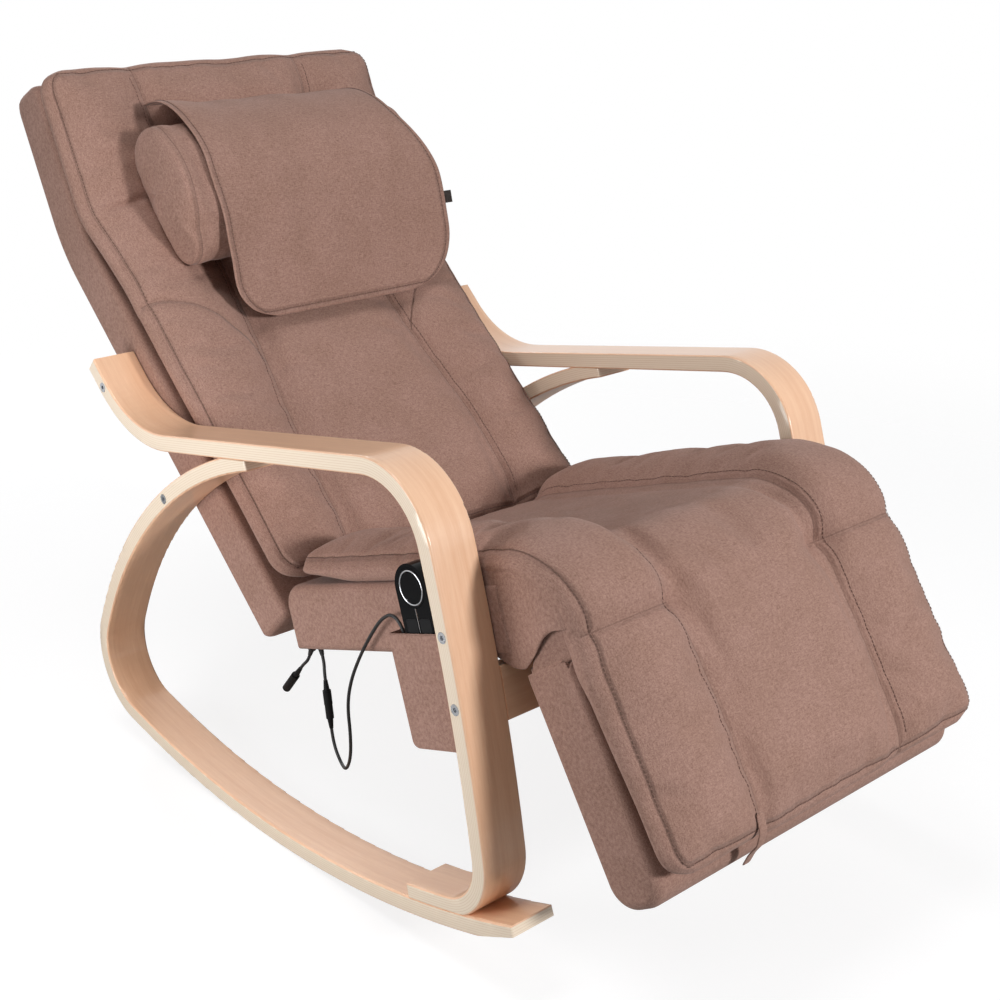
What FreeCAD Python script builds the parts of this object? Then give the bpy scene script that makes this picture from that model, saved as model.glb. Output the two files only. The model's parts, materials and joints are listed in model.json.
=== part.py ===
import FreeCAD, Part
import math
import os
from FreeCAD import Vector

# A massage rocking chair: two bent plywood side frames, an upholstered back and seat
# bolted between them, a hinged footrest, a loose mat, a head cushion and a hand control.
# X is across the chair, -Y is the way the sitter faces, Z is up. Millimetres and degrees.
# In the side view a point is a (y, z) pair, and a heading is measured from +Y towards +Z.

# Side frames
overall_width = 660.0
strip_width = 62.0
strip_thickness = 22.0
strip_edge_radius = 2.5
rocker_low_y = 95.9
rocker_radius = 1410.0
rocker_front_angle = 20.1
rocker_rear_angle = 13.4
rocker_tip_taper_length = 70.0
rocker_tip_taper_depth = 9.0
rear_bend_radius = 96.0
rear_bend_angle = 100.8
rear_curve_radius = 641.0
rear_curve_angle = 48.8
arm_slope = 10.7
arm_behind_joint = 185.0
seat_behind_joint = 198.0
arm_joint_bite = 9.0
arm_rear_radius = 157.9
arm_rear_angle = 54.8
arm_rear_straight = 34.7
arm_front_radius = 106.8
arm_front_angle = 83.0
leg_radius = 2422.0
foot_radius = 80.4
foot_length = 77.0
foot_bite = 5.0
rail_height = 62.0
rail_below_bolt = 80.0

# Fasteners
bolt_radius = 4.0
bolt_head_radius = 6.5
bolt_head_height = 4.2
bolt_head_recess = 4.0
bolt_socket_radius = 2.9
bolt_socket_depth = 3.0
bolt_reach = 26.0
arm_bolt_from_end = 38.0
bolt_hole_clearance = 0.2
barrel_nut_radius = 6.0
barrel_nut_depth = 14.0
fit_clearance = 0.05
screw_radius = 2.2
screw_head_radius = 4.5
screw_head_height = 3.0
screw_head_recess = 2.0
foot_screw_length = 32.0
foot_screw_spacing = 34.0
arm_screw_length = 28.0
arm_screw_spacing = 34.0
arm_screw_below_arm = 11.2
screw_hole_clearance = 0.1
nut_length_share = 0.8
cutter_reach = 1.0

# Upholstered boxes
cover_wall = 4.0
cover_corner_radius = 12.0
cover_side_clearance = 0.5
frame_rail_width = 25.0

# Back
arm_bolt_along_back = 393.9
arm_bolt_off_back = 40.7
back_low_angle = 43.4
back_bend_angle = 20.6
back_bend_radius = 255.0
back_low_straight = 592.0
back_high_straight = 172.0
back_thickness = 75.0
back_rail_depth = 40.0
back_rail_centre = 47.0

# Massage drive inside the back
guide_rod_radius = 6.0
guide_rod_spread = 90.0
guide_rod_end_cover = 2.0
lead_screw_radius = 5.0
lead_screw_off = 26.0
lead_screw_in_motor = 12.0
screw_end_play = 1.0
drive_slat_along = 120.0
drive_slat_height = 25.0
stop_slat_along = 560.0
carriage_centre = 350.0
carriage_half_length = 70.0
carriage_half_width = 115.0
carriage_thickness = 24.0
nut_block_half_width = 16.0
nut_block_half_length = 30.0
nut_block_depth = 19.0
head_radius = 17.0
head_eccentricity = 5.0
head_thickness = 22.0
head_spread = 50.0
head_window_half_width = 14.0
head_window_length = 54.0
head_shaft_radius = 5.0
head_shaft_lift = 34.0
lift_motor_radius = 20.0
lift_motor_length = 80.0
knead_motor_radius = 12.0
knead_motor_length = 56.0
knead_motor_drop = 48.0
knead_motor_gap = 0.4

# Seat
seat_rear_ahead = 70.5
seat_rear_up = 11.8
seat_angle = 18.6
seat_depth = 430.0
seat_height = 85.0
seat_rear_radius = 30.0
seat_rail_low = 15.0
seat_rail_high = 68.0
deck_thickness = 12.0
vibration_motor_radius = 18.0
vibration_motor_length = 60.0
vibration_weight_radius = 15.0
vibration_weight_thickness = 10.0
vibration_shaft_radius = 3.0
vibration_gap = 1.0
control_box_length = 80.0
control_box_width = 112.0
control_box_height = 24.0
control_box_from_front = 190.0
control_box_inset = 92.0
control_box_corner = 4.0
bracket_width = 40.0
bracket_thickness = 4.0
bracket_spread = 150.0
bracket_seat_leaf = 40.0
bracket_back_leaf = 50.0

# Footrest
foot_tilt = 57.0
foot_panel_length = 275.0
foot_panel_thickness = 80.0
foot_side_gap = 6.0
foot_toe_radius = 32.0
foot_rail_depth = 44.0
hinge_ahead = 20.0
hinge_up = 6.0
hinge_gap = 16.0
hinge_off = 24.0
hinge_spread = 180.0
hinge_leaf_width = 60.0
hinge_leaf_thickness = 3.0
hinge_leaf_length = 44.0
hinge_knuckle_radius = 8.0
hinge_knuckle_width = 28.0
hinge_knuckle_gap = 0.5
hinge_pin_radius = 4.0
hinge_pin_overhang = 2.0

# Mat on the back, the seat, the knee bend and the footrest
mat_gap = 0.4
mat_side_gap = 2.0
mat_side_draw = 13.0
mat_edge_share = 0.76
mat_channel_x = 138.0
mat_channel_depth = 17.0
mat_centre_drop = 6.0
mat_end_share = 0.5
mat_end_round = 26.0
mat_end_steps = 3
mat_bend_steps = 6
mat_end_narrowing = 16.0
back_mat_thickness = 52.0
back_mat_start = 36.0
back_mat_overrun = 6.0
seat_mat_thickness = 58.0
seat_mat_front_thickness = 44.0
seat_mat_rear_gap = 36.0
seat_mat_fall_length = 120.0
foot_mat_thickness = 57.0
foot_mat_from_toe = 20.0

# Head cushion under its flap, in the plane of the upper back
pillow_left = 200.0
pillow_right = 230.0
pillow_end_length = 60.0
pillow_end_share = 0.55
pillow_end_steps = 4
pillow_lift = 0.8
pillow_height = 117.6
pillow_crest_along = 15.0
pillow_top = 114.0
pillow_low = -92.0
pillow_nose = 22.0
pillow_top_nose_share = 0.31
pillow_top_shoulder = 33.0
pillow_top_shoulder_share = 0.79
pillow_low_shoulder = 39.6
pillow_low_shoulder_share = 0.83
pillow_low_nose_share = 0.53
pillow_middle_share = 0.4
pillow_below_bend = 87.0
flap_thickness = 3.0
flap_left = 150.0
flap_right = 235.0
flap_seam_along = 150.0
flap_seam_lift = 0.4
flap_start_heading = 104.6
flap_nose_radius = 172.4
flap_nose_angle = 38.8
flap_crest_radius = 119.0
flap_crest_angle = 36.6
flap_fall_radius = 330.0
flap_fall_angle = 12.5
flap_fall_straight = 138.0
tag_length = 18.0
tag_width = 15.0
tag_thickness = 1.2
tag_from_hem = 136.0

# Hand control and its pocket, in the plane of the seat
pocket_leg_gap = 6.4
control_low = -60.0
control_length = 174.0
control_half_width = 29.0
control_thickness = 20.0
control_foot_radius = 14.0
control_wall = 2.0
control_clearance = 0.6
pocket_half_width = 60.0
pocket_low = -103.0
pocket_mouth = 34.0
pocket_wall = 2.0
pocket_corner_radius = 10.0
pocket_room = 22.0
ring_outer_radius = 23.5
ring_inner_radius = 18.3
ring_below_top = 28.0
ring_depth = 1.5
ring_proud = 0.6
button_clearance = 0.25
button_depth = 4.0
key_width = 20.0
key_height = 17.0
key_column_spread = 12.5
key_row_step = 26.0
key_rows = 3
key_first_drop = 72.0
key_corner_radius = 3.0
key_proud = 0.3
divider_width = 1.5
divider_length = 84.0
board_thickness = 1.6
board_edge_gap = 3.0
control_relief_length = 12.0

# Leads
lead_radius = 2.1
lead_bend_share = 0.45
lead_short_run = 10.0
plug_run = 22.0
relief_run = 14.0
relief_radius = 4.0
relief_tip_wall = 0.5
grommet_flange_radius = 5.5
grommet_flange_height = 2.0
grommet_tip_length = 12.0
grommet_inside = 8.0
grommet_from_rear = 12.0
control_grommet_inset = 30.0
power_grommet_inset = 18.0
lead_side_step = 3.0
plug_start = (1.8, -46.5)
plug_heading = -97.8
socket_start = (34.6, -28.1)
socket_heading = -50.3
power_grommet_tilt = 43.0
connector_radius = 5.5
connector_length = 33.0
connector_relief = 14.0
connector_step = 0.4
socket_radius = 5.5
socket_length = 54.0
socket_relief = 18.0
socket_bore_radius = 2.9
socket_bore_depth = 10.0
socket_pin_radius = 1.0


def direction(heading):
    """Unit step in the side view."""
    return math.cos(math.radians(heading)), math.sin(math.radians(heading))


def shifted(point, heading, distance):
    """A side-view point moved along a heading."""
    step = direction(heading)
    return point[0] + step[0] * distance, point[1] + step[1] * distance


def vec(x, point):
    """A point of the side view at a place across the chair."""
    return Vector(x, point[0], point[1])


class Path:
    """A line in the side view made of straight runs and tangent arcs, left turns positive."""

    def __init__(self, start, heading):
        self.start = start
        self.heading = heading
        self.runs = []

    def straight(self, length):
        self.runs.append((length, 0.0))
        return self

    def arc(self, radius, turn):
        self.runs.append((radius * math.radians(abs(turn)), turn))
        return self

    def length(self):
        return sum(length for length, turn in self.runs)

    def pose(self, distance):
        """Point and heading at a distance; the last run goes on past its end."""
        point, heading = self.start, self.heading
        for index, (length, turn) in enumerate(self.runs):
            last = index == len(self.runs) - 1
            part = distance if last else min(distance, length)
            if turn:
                radius = length / math.radians(turn)
                centre = shifted(point, heading + 90.0, radius)
                heading += turn * part / length
                point = shifted(centre, heading - 90.0, radius)
            else:
                point = shifted(point, heading, part)
            distance -= part
            if distance <= 0.0 and not last:
                break
        return point, heading

    def at(self, distance, offset=0.0):
        point, heading = self.pose(distance)
        return shifted(point, heading + 90.0, offset)

    def edges(self, offset, x):
        result = []
        done = 0.0
        for length, turn in self.runs:
            first = vec(x, self.at(done, offset))
            middle = vec(x, self.at(done + length / 2.0, offset))
            last = vec(x, self.at(done + length, offset))
            if turn:
                result.append(Part.Arc(first, middle, last).toShape())
            else:
                result.append(Part.LineSegment(first, last).toShape())
            done += length
        return result

    def band(self, low, high, x0, x1):
        """Solid between two offsets of the path, from x0 to x1."""
        end = self.length()
        edges = self.edges(low, x0) + self.edges(high, x0)
        for place in (0.0, end):
            edges.append(line(vec(x0, self.at(place, low)), vec(x0, self.at(place, high))))
        wire = Part.Wire(Part.__sortEdges__(edges))
        return Part.Face(wire).extrude(Vector(x1 - x0, 0, 0))

    def crossing(self, plane, off, begin, end, offset):
        """Distance, between two others, at which an offset of the path is at a height over a plane."""
        low, high = begin, end
        low_side = plane.coordinates(self.at(low, offset))[1] > off
        for step in range(60):
            middle = (low + high) / 2.0
            if (plane.coordinates(self.at(middle, offset))[1] > off) == low_side:
                low = middle
            else:
                high = middle
        return low


class Plane:
    """A tilted board in the side view: along its face, and off it to the left."""

    def __init__(self, origin, angle):
        self.origin = origin
        self.angle = angle

    def at(self, along, off):
        return shifted(shifted(self.origin, self.angle, along), self.angle + 90.0, off)

    def coordinates(self, point):
        step = direction(self.angle)
        dy = point[0] - self.origin[0]
        dz = point[1] - self.origin[1]
        return dy * step[0] + dz * step[1], dz * step[0] - dy * step[1]

    def along_axis(self):
        return vec(0.0, direction(self.angle))

    def off_axis(self):
        return vec(0.0, direction(self.angle + 90.0))

    def slab(self, along, off, x):
        """Box between two places along, two off and two across."""
        corners = [(along[0], off[0]), (along[1], off[0]), (along[1], off[1]), (along[0], off[1])]
        points = [vec(x[0], self.at(*corner)) for corner in corners]
        face = Part.Face(Part.makePolygon(points + points[:1]))
        return face.extrude(Vector(x[1] - x[0], 0, 0))

    def rod(self, radius, along, off, x):
        """Round rod along the board."""
        return Part.makeCylinder(radius, along[1] - along[0], vec(x, self.at(along[0], off)), self.along_axis())

    def cross_rod(self, radius, along, off, x):
        """Round rod across the chair."""
        return Part.makeCylinder(radius, x[1] - x[0], vec(x[0], self.at(along, off)), Vector(1, 0, 0))


def line(first, last):
    return Part.LineSegment(first, last).toShape()


def arc(first, middle, last):
    return Part.Arc(first, middle, last).toShape()


def joined(shapes):
    """One solid of several that touch or overlap."""
    return shapes[0].fuse(shapes[1:]).removeSplitter()


def without(shape, cutters):
    """A shape with holes and notches cut from it."""
    return shape.cut(cutters).removeSplitter() if cutters else shape


def mirrored(shape):
    return shape.mirror(Vector(0, 0, 0), Vector(1, 0, 0))


def side_edges(shape):
    """Edges that lie in a plane across the chair."""
    return [edge for edge in shape.Edges if edge.BoundBox.XLength < 1e-6]


def cross_edges(shape, point, reach):
    """Edges that run across the chair close to a side-view point."""
    near = []
    for edge in shape.Edges:
        box = edge.BoundBox
        away = math.hypot(box.Center.y - point[0], box.Center.z - point[1])
        if box.XLength > 1.0 and box.YLength < 1e-6 and away < reach:
            near.append(edge)
    return near


# Side frames: the rocker strip runs from the front tip back along the floor and up the rear curve
strip_outer = overall_width / 2.0
strip_inner = strip_outer - strip_width
arm_ahead_joint = seat_depth - seat_behind_joint
rocker_centre = (rocker_low_y, rocker_radius)
rocker_tip = shifted(rocker_centre, -90.0 - rocker_front_angle, rocker_radius)
rocker_path = Path(rocker_tip, -rocker_front_angle)
rocker_path.arc(rocker_radius, rocker_front_angle + rocker_rear_angle)
rocker_path.arc(rear_bend_radius, rear_bend_angle)
rocker_path.arc(rear_curve_radius, rear_curve_angle)
runner_path = Path(rocker_tip, -rocker_front_angle)
runner_path.arc(rocker_radius, rocker_front_angle + rocker_rear_angle)

# The arm strip: its underside takes in the end of the rear curve
arm_heading = 180.0 - arm_slope
curve_end = rocker_path.at(rocker_path.length())
arm_over_joint = shifted(curve_end, arm_heading + 90.0, arm_joint_bite - strip_thickness)
arm_rear_bend_end = shifted(arm_over_joint, arm_heading, -arm_behind_joint)
arm_start_heading = arm_heading + arm_rear_angle
bend_centre = shifted(arm_rear_bend_end, arm_heading - 90.0, arm_rear_radius)
arm_rear_bend_start = shifted(bend_centre, arm_start_heading + 90.0, arm_rear_radius)
arm_start = shifted(arm_rear_bend_start, arm_start_heading, -arm_rear_straight)


def arm_rest():
    """Upper surface of the arm, from its rear end to the front bend."""
    path = Path(arm_start, arm_start_heading)
    path.straight(arm_rear_straight)
    path.arc(arm_rear_radius, -arm_rear_angle)
    path.straight(arm_behind_joint + arm_ahead_joint)
    return path


def leg_to_runner():
    """Turn of the leg, and of the bend at its foot, that bring it down onto the runner."""
    foot_circle = rocker_radius - strip_thickness + foot_bite
    low, high = 0.1, 30.0
    for step in range(60):
        turn = (low + high) / 2.0
        path = arm_rest().arc(arm_front_radius, arm_front_angle).arc(leg_radius, turn)
        end, heading = path.pose(path.length())
        centre = shifted(end, heading + 90.0, foot_radius)
        reach = math.hypot(centre[0] - rocker_centre[0], centre[1] - rocker_centre[1])
        if reach + foot_radius < foot_circle:
            low = turn
        else:
            high = turn
    outward = math.degrees(math.atan2(centre[1] - rocker_centre[1], centre[0] - rocker_centre[0]))
    return turn, (outward + 90.0 - heading) % 360.0, foot_circle


leg_turn, foot_turn, foot_circle_radius = leg_to_runner()
arm_path = arm_rest().arc(arm_front_radius, arm_front_angle).arc(leg_radius, leg_turn)
leg_end = arm_path.length()
leg_start = leg_end - leg_radius * math.radians(leg_turn)
arm_path.arc(foot_radius, foot_turn)
foot_start = arm_path.length()
arm_path.arc(foot_circle_radius, math.degrees(foot_length / foot_circle_radius))

# Boards: the back lies along the rear end of the arm, the seat at the foot of the back
strip_middle = strip_thickness / 2.0
arm_bolt = arm_path.at(arm_bolt_from_end, strip_middle)
back_edge = shifted(arm_bolt, back_low_angle - 90.0, arm_bolt_off_back)
back_foot = shifted(back_edge, back_low_angle, -arm_bolt_along_back)
back_path = Path(back_foot, back_low_angle)
back_path.straight(back_low_straight)
back_path.arc(back_bend_radius, back_bend_angle)
back_path.straight(back_high_straight)
back_top = back_path.length()
back_low = Plane(back_foot, back_low_angle)
back_bend_end = back_top - back_high_straight
back_high_origin, back_high_angle = back_path.pose(back_bend_end)
bend_reach = back_bend_radius * math.tan(math.radians(back_bend_angle / 2.0))
back_high = Plane(shifted(back_high_origin, back_high_angle, -bend_reach), back_high_angle)
seat_rear = (back_foot[0] - seat_rear_ahead, back_foot[1] + seat_rear_up)
seat = Plane(shifted(seat_rear, -seat_angle, -seat_depth), -seat_angle)
hinge = seat.at(-hinge_ahead, hinge_up)
foot_hinge_along = foot_panel_length + hinge_gap
foot_origin = shifted(shifted(hinge, foot_tilt, -foot_hinge_along), foot_tilt + 90.0, -hinge_off)
foot = Plane(foot_origin, foot_tilt)
mat_half_width = strip_inner - mat_side_gap
foot_panel_half_width = strip_inner - foot_side_gap
cover_half_width = strip_inner - cover_side_clearance
inner_half_width = cover_half_width - cover_wall

# Bolts go through a strip, from its outer edge into the board beside it
seat_rail_middle = (seat_rail_low + seat_rail_high) / 2.0
curve_begin = rocker_path.length() - rear_curve_radius * math.radians(rear_curve_angle)
curve_bolt_place = rocker_path.crossing(back_low, back_rail_centre, curve_begin,
                                        rocker_path.length(), strip_middle)
seat_bolt_place = arm_path.crossing(seat, seat_rail_middle, leg_start, leg_end, strip_middle)
rail_place = seat_bolt_place + rail_below_bolt
rail_point, rail_heading = arm_path.pose(rail_place)
rail_plane = Plane(rail_point, rail_heading)
curve_bolt = rocker_path.at(curve_bolt_place, strip_middle)
seat_bolt = arm_path.at(seat_bolt_place, strip_middle)
rail_bolt = arm_path.at(rail_place, strip_middle)

# Each bolt: its place, the way its cross nut lies and how long that nut is
bolt_places = [
    (arm_bolt, back_low.off_axis(), back_rail_depth),
    (curve_bolt, back_low.off_axis(), back_rail_depth),
    (seat_bolt, seat.off_axis(), seat_rail_high - seat_rail_low),
    (rail_bolt, rail_plane.off_axis(), strip_thickness),
]


def bolt(point, grow=0.0):
    """Hex socket bolt on the +X side, or with grow the hole it needs."""
    head_face = strip_outer - bolt_head_recess
    shank = Part.makeCylinder(bolt_radius + grow, head_face - strip_inner + bolt_reach,
                              vec(head_face, point), Vector(-1, 0, 0))
    head_height = bolt_head_height if grow == 0.0 else bolt_head_height + bolt_head_recess
    head = Part.makeCylinder(bolt_head_radius + grow, head_height, vec(head_face, point), Vector(1, 0, 0))
    body = shank.fuse(head)
    if grow:
        return body
    flats = []
    for index in range(7):
        flats.append(vec(strip_outer + cutter_reach, shifted(point, 60.0 * index, bolt_socket_radius)))
    depth = cutter_reach + bolt_socket_depth
    return body.cut(Part.Face(Part.makePolygon(flats)).extrude(Vector(-depth, 0, 0)))


def barrel_nut(point, axis, room, grow=0.0):
    """Cross nut for a bolt on the +X side, or with grow the hole it needs."""
    length = room * nut_length_share
    base = vec(strip_inner - barrel_nut_depth, point) - axis * (length / 2.0)
    body = Part.makeCylinder(barrel_nut_radius + grow, length, base, axis)
    return body if grow else body.cut(bolt(point, fit_clearance))


def both_sides(shapes):
    """A group of separate solids on the +X side together with its mirror image."""
    return Part.makeCompound(shapes + [mirrored(shape) for shape in shapes])


def bolt_holes():
    """Clearance holes of every bolt and cross nut, on both sides."""
    cutters = []
    for point, axis, room in bolt_places:
        cutters.append(bolt(point, bolt_hole_clearance))
        cutters.append(barrel_nut(point, axis, room, fit_clearance))
    return cutters + [mirrored(cutter) for cutter in cutters]


def screw(point, heading, x, length, grow=0.0):
    """Wood screw whose sunk head lies at a point, driven along a heading."""
    axis = vec(0.0, direction(heading))
    base = vec(x, point)
    shank = Part.makeCylinder(screw_radius + grow, length, base, axis)
    head = Part.makeCone(screw_head_radius + grow, screw_radius + grow, screw_head_height, base, axis)
    body = shank.fuse(head)
    if grow:
        way_in = Part.makeCylinder(screw_head_radius + grow, strip_thickness, base, axis * -1.0)
        return body.fuse(way_in)
    return body


strip_centre_x = (strip_inner + strip_outer) / 2.0
foot_contact = math.degrees(math.atan2(arm_path.at(foot_start)[1] - rocker_centre[1],
                                       arm_path.at(foot_start)[0] - rocker_centre[0]))


def foot_screws(grow=0.0):
    """Screws up through the runner into the foot of the leg."""
    screws = []
    for index in (-0.5, 0.5):
        turn = math.degrees((foot_length / 2.0 + index * foot_screw_spacing) / rocker_radius)
        outward = foot_contact + turn
        point = shifted(rocker_centre, outward, rocker_radius - screw_head_recess)
        screws.append(screw(point, outward + 180.0, strip_centre_x, foot_screw_length, grow))
    return screws


def arm_screws(grow=0.0):
    """Screws up through the end of the rear curve into the arm."""
    screws = []
    for index in (1.0, 2.0):
        place = arm_rear_straight + arm_rear_radius * math.radians(arm_rear_angle)
        place += arm_behind_joint - index * arm_screw_spacing
        point = arm_path.at(place, strip_thickness + arm_screw_below_arm)
        screws.append(screw(point, arm_heading - 90.0, strip_centre_x, arm_screw_length, grow))
    return screws


def rounded_strip(path):
    strip = path.band(0.0, strip_thickness, strip_inner, strip_outer)
    return strip.makeFillet(strip_edge_radius, side_edges(strip))


def tip_taper():
    """Wedge planed off the underside of the runner's front tip."""
    inner = rocker_path.at(rocker_tip_taper_length)
    below = shifted(rocker_tip, -90.0 - rocker_front_angle, strip_thickness)
    corner = shifted(rocker_tip, 90.0 - rocker_front_angle, rocker_tip_taper_depth)
    ahead = shifted(corner, 180.0 - rocker_front_angle, strip_thickness)
    points = [vec(strip_inner - cutter_reach, place) for place in (inner, below, ahead, corner)]
    face = Part.Face(Part.makePolygon(points + points[:1]))
    return face.extrude(Vector(strip_width + 2.0 * cutter_reach, 0, 0))


def left_side_frame():
    """Arm strip and rocker strip on the +X side."""
    holes = bolt_holes()
    scarf = arm_rest().band(0.0, strip_thickness, strip_inner - cutter_reach, strip_outer + cutter_reach)
    seat_of_foot = runner_path.band(0.0, strip_thickness, strip_inner - cutter_reach, strip_outer + cutter_reach)
    screw_holes = foot_screws(screw_hole_clearance) + arm_screws(screw_hole_clearance)
    arm = without(rounded_strip(arm_path), [seat_of_foot] + holes + screw_holes)
    rocker = without(rounded_strip(rocker_path), [scarf, tip_taper()] + holes + screw_holes)
    return arm, rocker


def front_rail():
    half = rail_height / 2.0
    rail = rail_plane.slab((-half, half), (0.0, strip_thickness), (-strip_inner, strip_inner))
    long_edges = [edge for edge in rail.Edges if edge.BoundBox.XLength > 1.0]
    return without(rail.makeFillet(strip_edge_radius, long_edges), bolt_holes())


def back_band(low, high, start, end, x0, x1):
    """Part of the back between two offsets, cut short at its foot and its top."""
    path = Path(back_path.at(start), back_low_angle)
    path.straight(back_low_straight - start)
    path.arc(back_bend_radius, back_bend_angle)
    path.straight(back_high_straight - end)
    return path.band(low, high, x0, x1)


def back_cover():
    outer = back_band(0.0, back_thickness, 0.0, 0.0, -cover_half_width, cover_half_width)
    inner = back_band(cover_wall, back_thickness - cover_wall, cover_wall, cover_wall,
                      -inner_half_width, inner_half_width)
    shell = outer.makeFillet(cover_corner_radius, outer.Edges).cut(inner)
    return without(shell, bolt_holes())


def back_frame():
    """Ladder frame inside the back: two side rails and four slats."""
    low = back_rail_centre - back_rail_depth / 2.0
    high = back_rail_centre + back_rail_depth / 2.0
    inner = inner_half_width - frame_rail_width
    pieces = []
    for x0, x1 in ((-inner_half_width, -inner), (inner, inner_half_width)):
        pieces.append(back_band(low, high, cover_wall, cover_wall, x0, x1))
    slat_low = lead_screw_off - 2.0 * lead_screw_radius
    for along in (cover_wall, drive_slat_along, stop_slat_along):
        pieces.append(back_low.slab((along, along + drive_slat_height), (slat_low, high), (-inner, inner)))
    top = bend_reach + back_high_straight - cover_wall
    pieces.append(back_high.slab((top - drive_slat_height, top), (low, high), (-inner, inner)))
    return without(joined(pieces), bolt_holes() + guide_rods(fit_clearance) + [lead_screw(fit_clearance)])


rod_along = (drive_slat_along + guide_rod_end_cover,
             stop_slat_along + drive_slat_height - guide_rod_end_cover)


def guide_rods(grow=0.0):
    return [back_low.rod(guide_rod_radius + grow, rod_along, back_rail_centre, side * guide_rod_spread)
            for side in (-1, 1)]


def lead_screw(grow=0.0):
    """Screw that lifts the carriage, or with grow the bores it turns in."""
    end_play = 0.0 if grow == 0.0 else screw_end_play
    along = (drive_slat_along - lead_screw_in_motor - end_play,
             stop_slat_along + drive_slat_height / 2.0 + end_play)
    return back_low.rod(lead_screw_radius + grow, along, lead_screw_off, 0.0)


def lift_motor():
    """Gear motor under the lower slat, turning the lead screw."""
    along = (drive_slat_along - lift_motor_length, drive_slat_along)
    body = back_low.rod(lift_motor_radius, along, (back_rail_centre + lead_screw_off) / 2.0, 0.0)
    return body.cut(lead_screw(fit_clearance))


carriage_off = (back_rail_centre - carriage_thickness / 2.0, back_rail_centre + carriage_thickness / 2.0)
shaft_along = carriage_centre + head_shaft_lift
shaft_x = (-head_spread - head_thickness, head_spread + head_thickness)


def head_shaft(grow=0.0):
    """Shaft of the kneading heads, or with grow the bores it turns in."""
    end_play = 0.0 if grow == 0.0 else screw_end_play
    return back_low.cross_rod(head_shaft_radius + grow, shaft_along, back_rail_centre,
                              (shaft_x[0] - end_play, shaft_x[1] + end_play))


def massage_carriage():
    """Plate that rides on the guide rods, with a nut for the lead screw and windows for the heads."""
    along = (carriage_centre - carriage_half_length, carriage_centre + carriage_half_length)
    plate = back_low.slab(along, carriage_off, (-carriage_half_width, carriage_half_width))
    nut = back_low.slab((carriage_centre - nut_block_half_length, carriage_centre + nut_block_half_length),
                        (carriage_off[0] - nut_block_depth, carriage_off[0]),
                        (-nut_block_half_width, nut_block_half_width))
    cutters = guide_rods(fit_clearance) + [lead_screw(fit_clearance), head_shaft(fit_clearance)]
    for side in (-1, 1):
        middle = side * head_spread
        window = (shaft_along - head_window_length / 2.0, shaft_along + head_window_length / 2.0)
        across = (middle - head_window_half_width, middle + head_window_half_width)
        cutters.append(back_low.slab(window, (0.0, back_thickness), across))
    return without(joined([plate, nut]), cutters)


def massage_head(side):
    """Rubber kneading roller set off centre on its shaft."""
    place = shaft_along + side * head_eccentricity
    x = (side * head_spread - head_thickness / 2.0, side * head_spread + head_thickness / 2.0)
    roller = back_low.cross_rod(head_radius, place, back_rail_centre, x)
    rim = [edge for edge in roller.Edges if edge.BoundBox.XLength < 1e-6]
    roller = roller.makeFillet(head_thickness / 4.0, rim)
    return roller.cut(head_shaft())


def knead_motor():
    """Gear motor on the rear of the carriage plate."""
    x1 = -nut_block_half_width - knead_motor_gap
    along = carriage_centre - knead_motor_drop
    off = carriage_off[0] - knead_motor_radius
    return back_low.cross_rod(knead_motor_radius, along, off, (x1 - knead_motor_length, x1))


def seat_block(inset, half_width):
    """The seat with its rounded rear edge, or with inset the room inside it."""
    block = seat.slab((inset, seat_depth - inset), (inset, seat_height - inset), (-half_width, half_width))
    rear_top = cross_edges(block, seat.at(seat_depth - inset, seat_height - inset), 1.0)
    return block.makeFillet(seat_rear_radius - inset, rear_top)


def seat_cover():
    outer = seat_block(0.0, cover_half_width)
    outer = outer.makeFillet(cover_corner_radius, side_edges(outer))
    shell = outer.cut(seat_block(cover_wall, inner_half_width))
    return without(shell, bolt_holes() + [power_grommet(), control_grommet()])


def seat_frame():
    """Box frame inside the seat."""
    rails = seat_rail_low, seat_rail_high
    ends = (cover_wall, seat_depth - cover_wall)
    inner = inner_half_width - frame_rail_width
    pieces = []
    for across in ((-inner_half_width, -inner), (inner, inner_half_width)):
        pieces.append(seat.slab(ends, rails, across))
    for along in ((ends[0], ends[0] + frame_rail_width), (ends[1] - frame_rail_width, ends[1])):
        pieces.append(seat.slab(along, rails, (-inner, inner)))
    return without(joined(pieces).common(seat_block(cover_wall, inner_half_width)), bolt_holes())


def seat_deck():
    """Plywood deck on the seat frame, clear of the rounded rear edge."""
    along = (cover_wall, seat_depth - seat_rear_radius)
    off = (seat_rail_high, seat_rail_high + deck_thickness)
    return seat.slab(along, off, (-inner_half_width, inner_half_width))


vibration_along = seat_depth / 2.0
vibration_off = seat_rail_high - vibration_motor_radius
vibration_x = vibration_motor_length / 2.0


def vibration_shaft(grow=0.0):
    reach = vibration_x + vibration_gap + vibration_weight_thickness
    return seat.cross_rod(vibration_shaft_radius + grow, vibration_along, vibration_off,
                          (vibration_x - vibration_motor_length / 3.0, reach))


def vibration_motor():
    body = seat.cross_rod(vibration_motor_radius, vibration_along, vibration_off, (-vibration_x, vibration_x))
    return body.cut(vibration_shaft(fit_clearance))


def vibration_weight():
    """Half disc on the motor's shaft that shakes the seat as it turns."""
    x0 = vibration_x + vibration_gap
    x1 = x0 + vibration_weight_thickness
    disc = seat.cross_rod(vibration_weight_radius, vibration_along, vibration_off, (x0, x1))
    reach = vibration_weight_radius + vibration_shaft_radius
    half = seat.slab((vibration_along - reach, vibration_along + reach),
                     (vibration_off - reach, vibration_off), (x0, x1))
    return joined([disc.common(half), vibration_shaft()])


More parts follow.
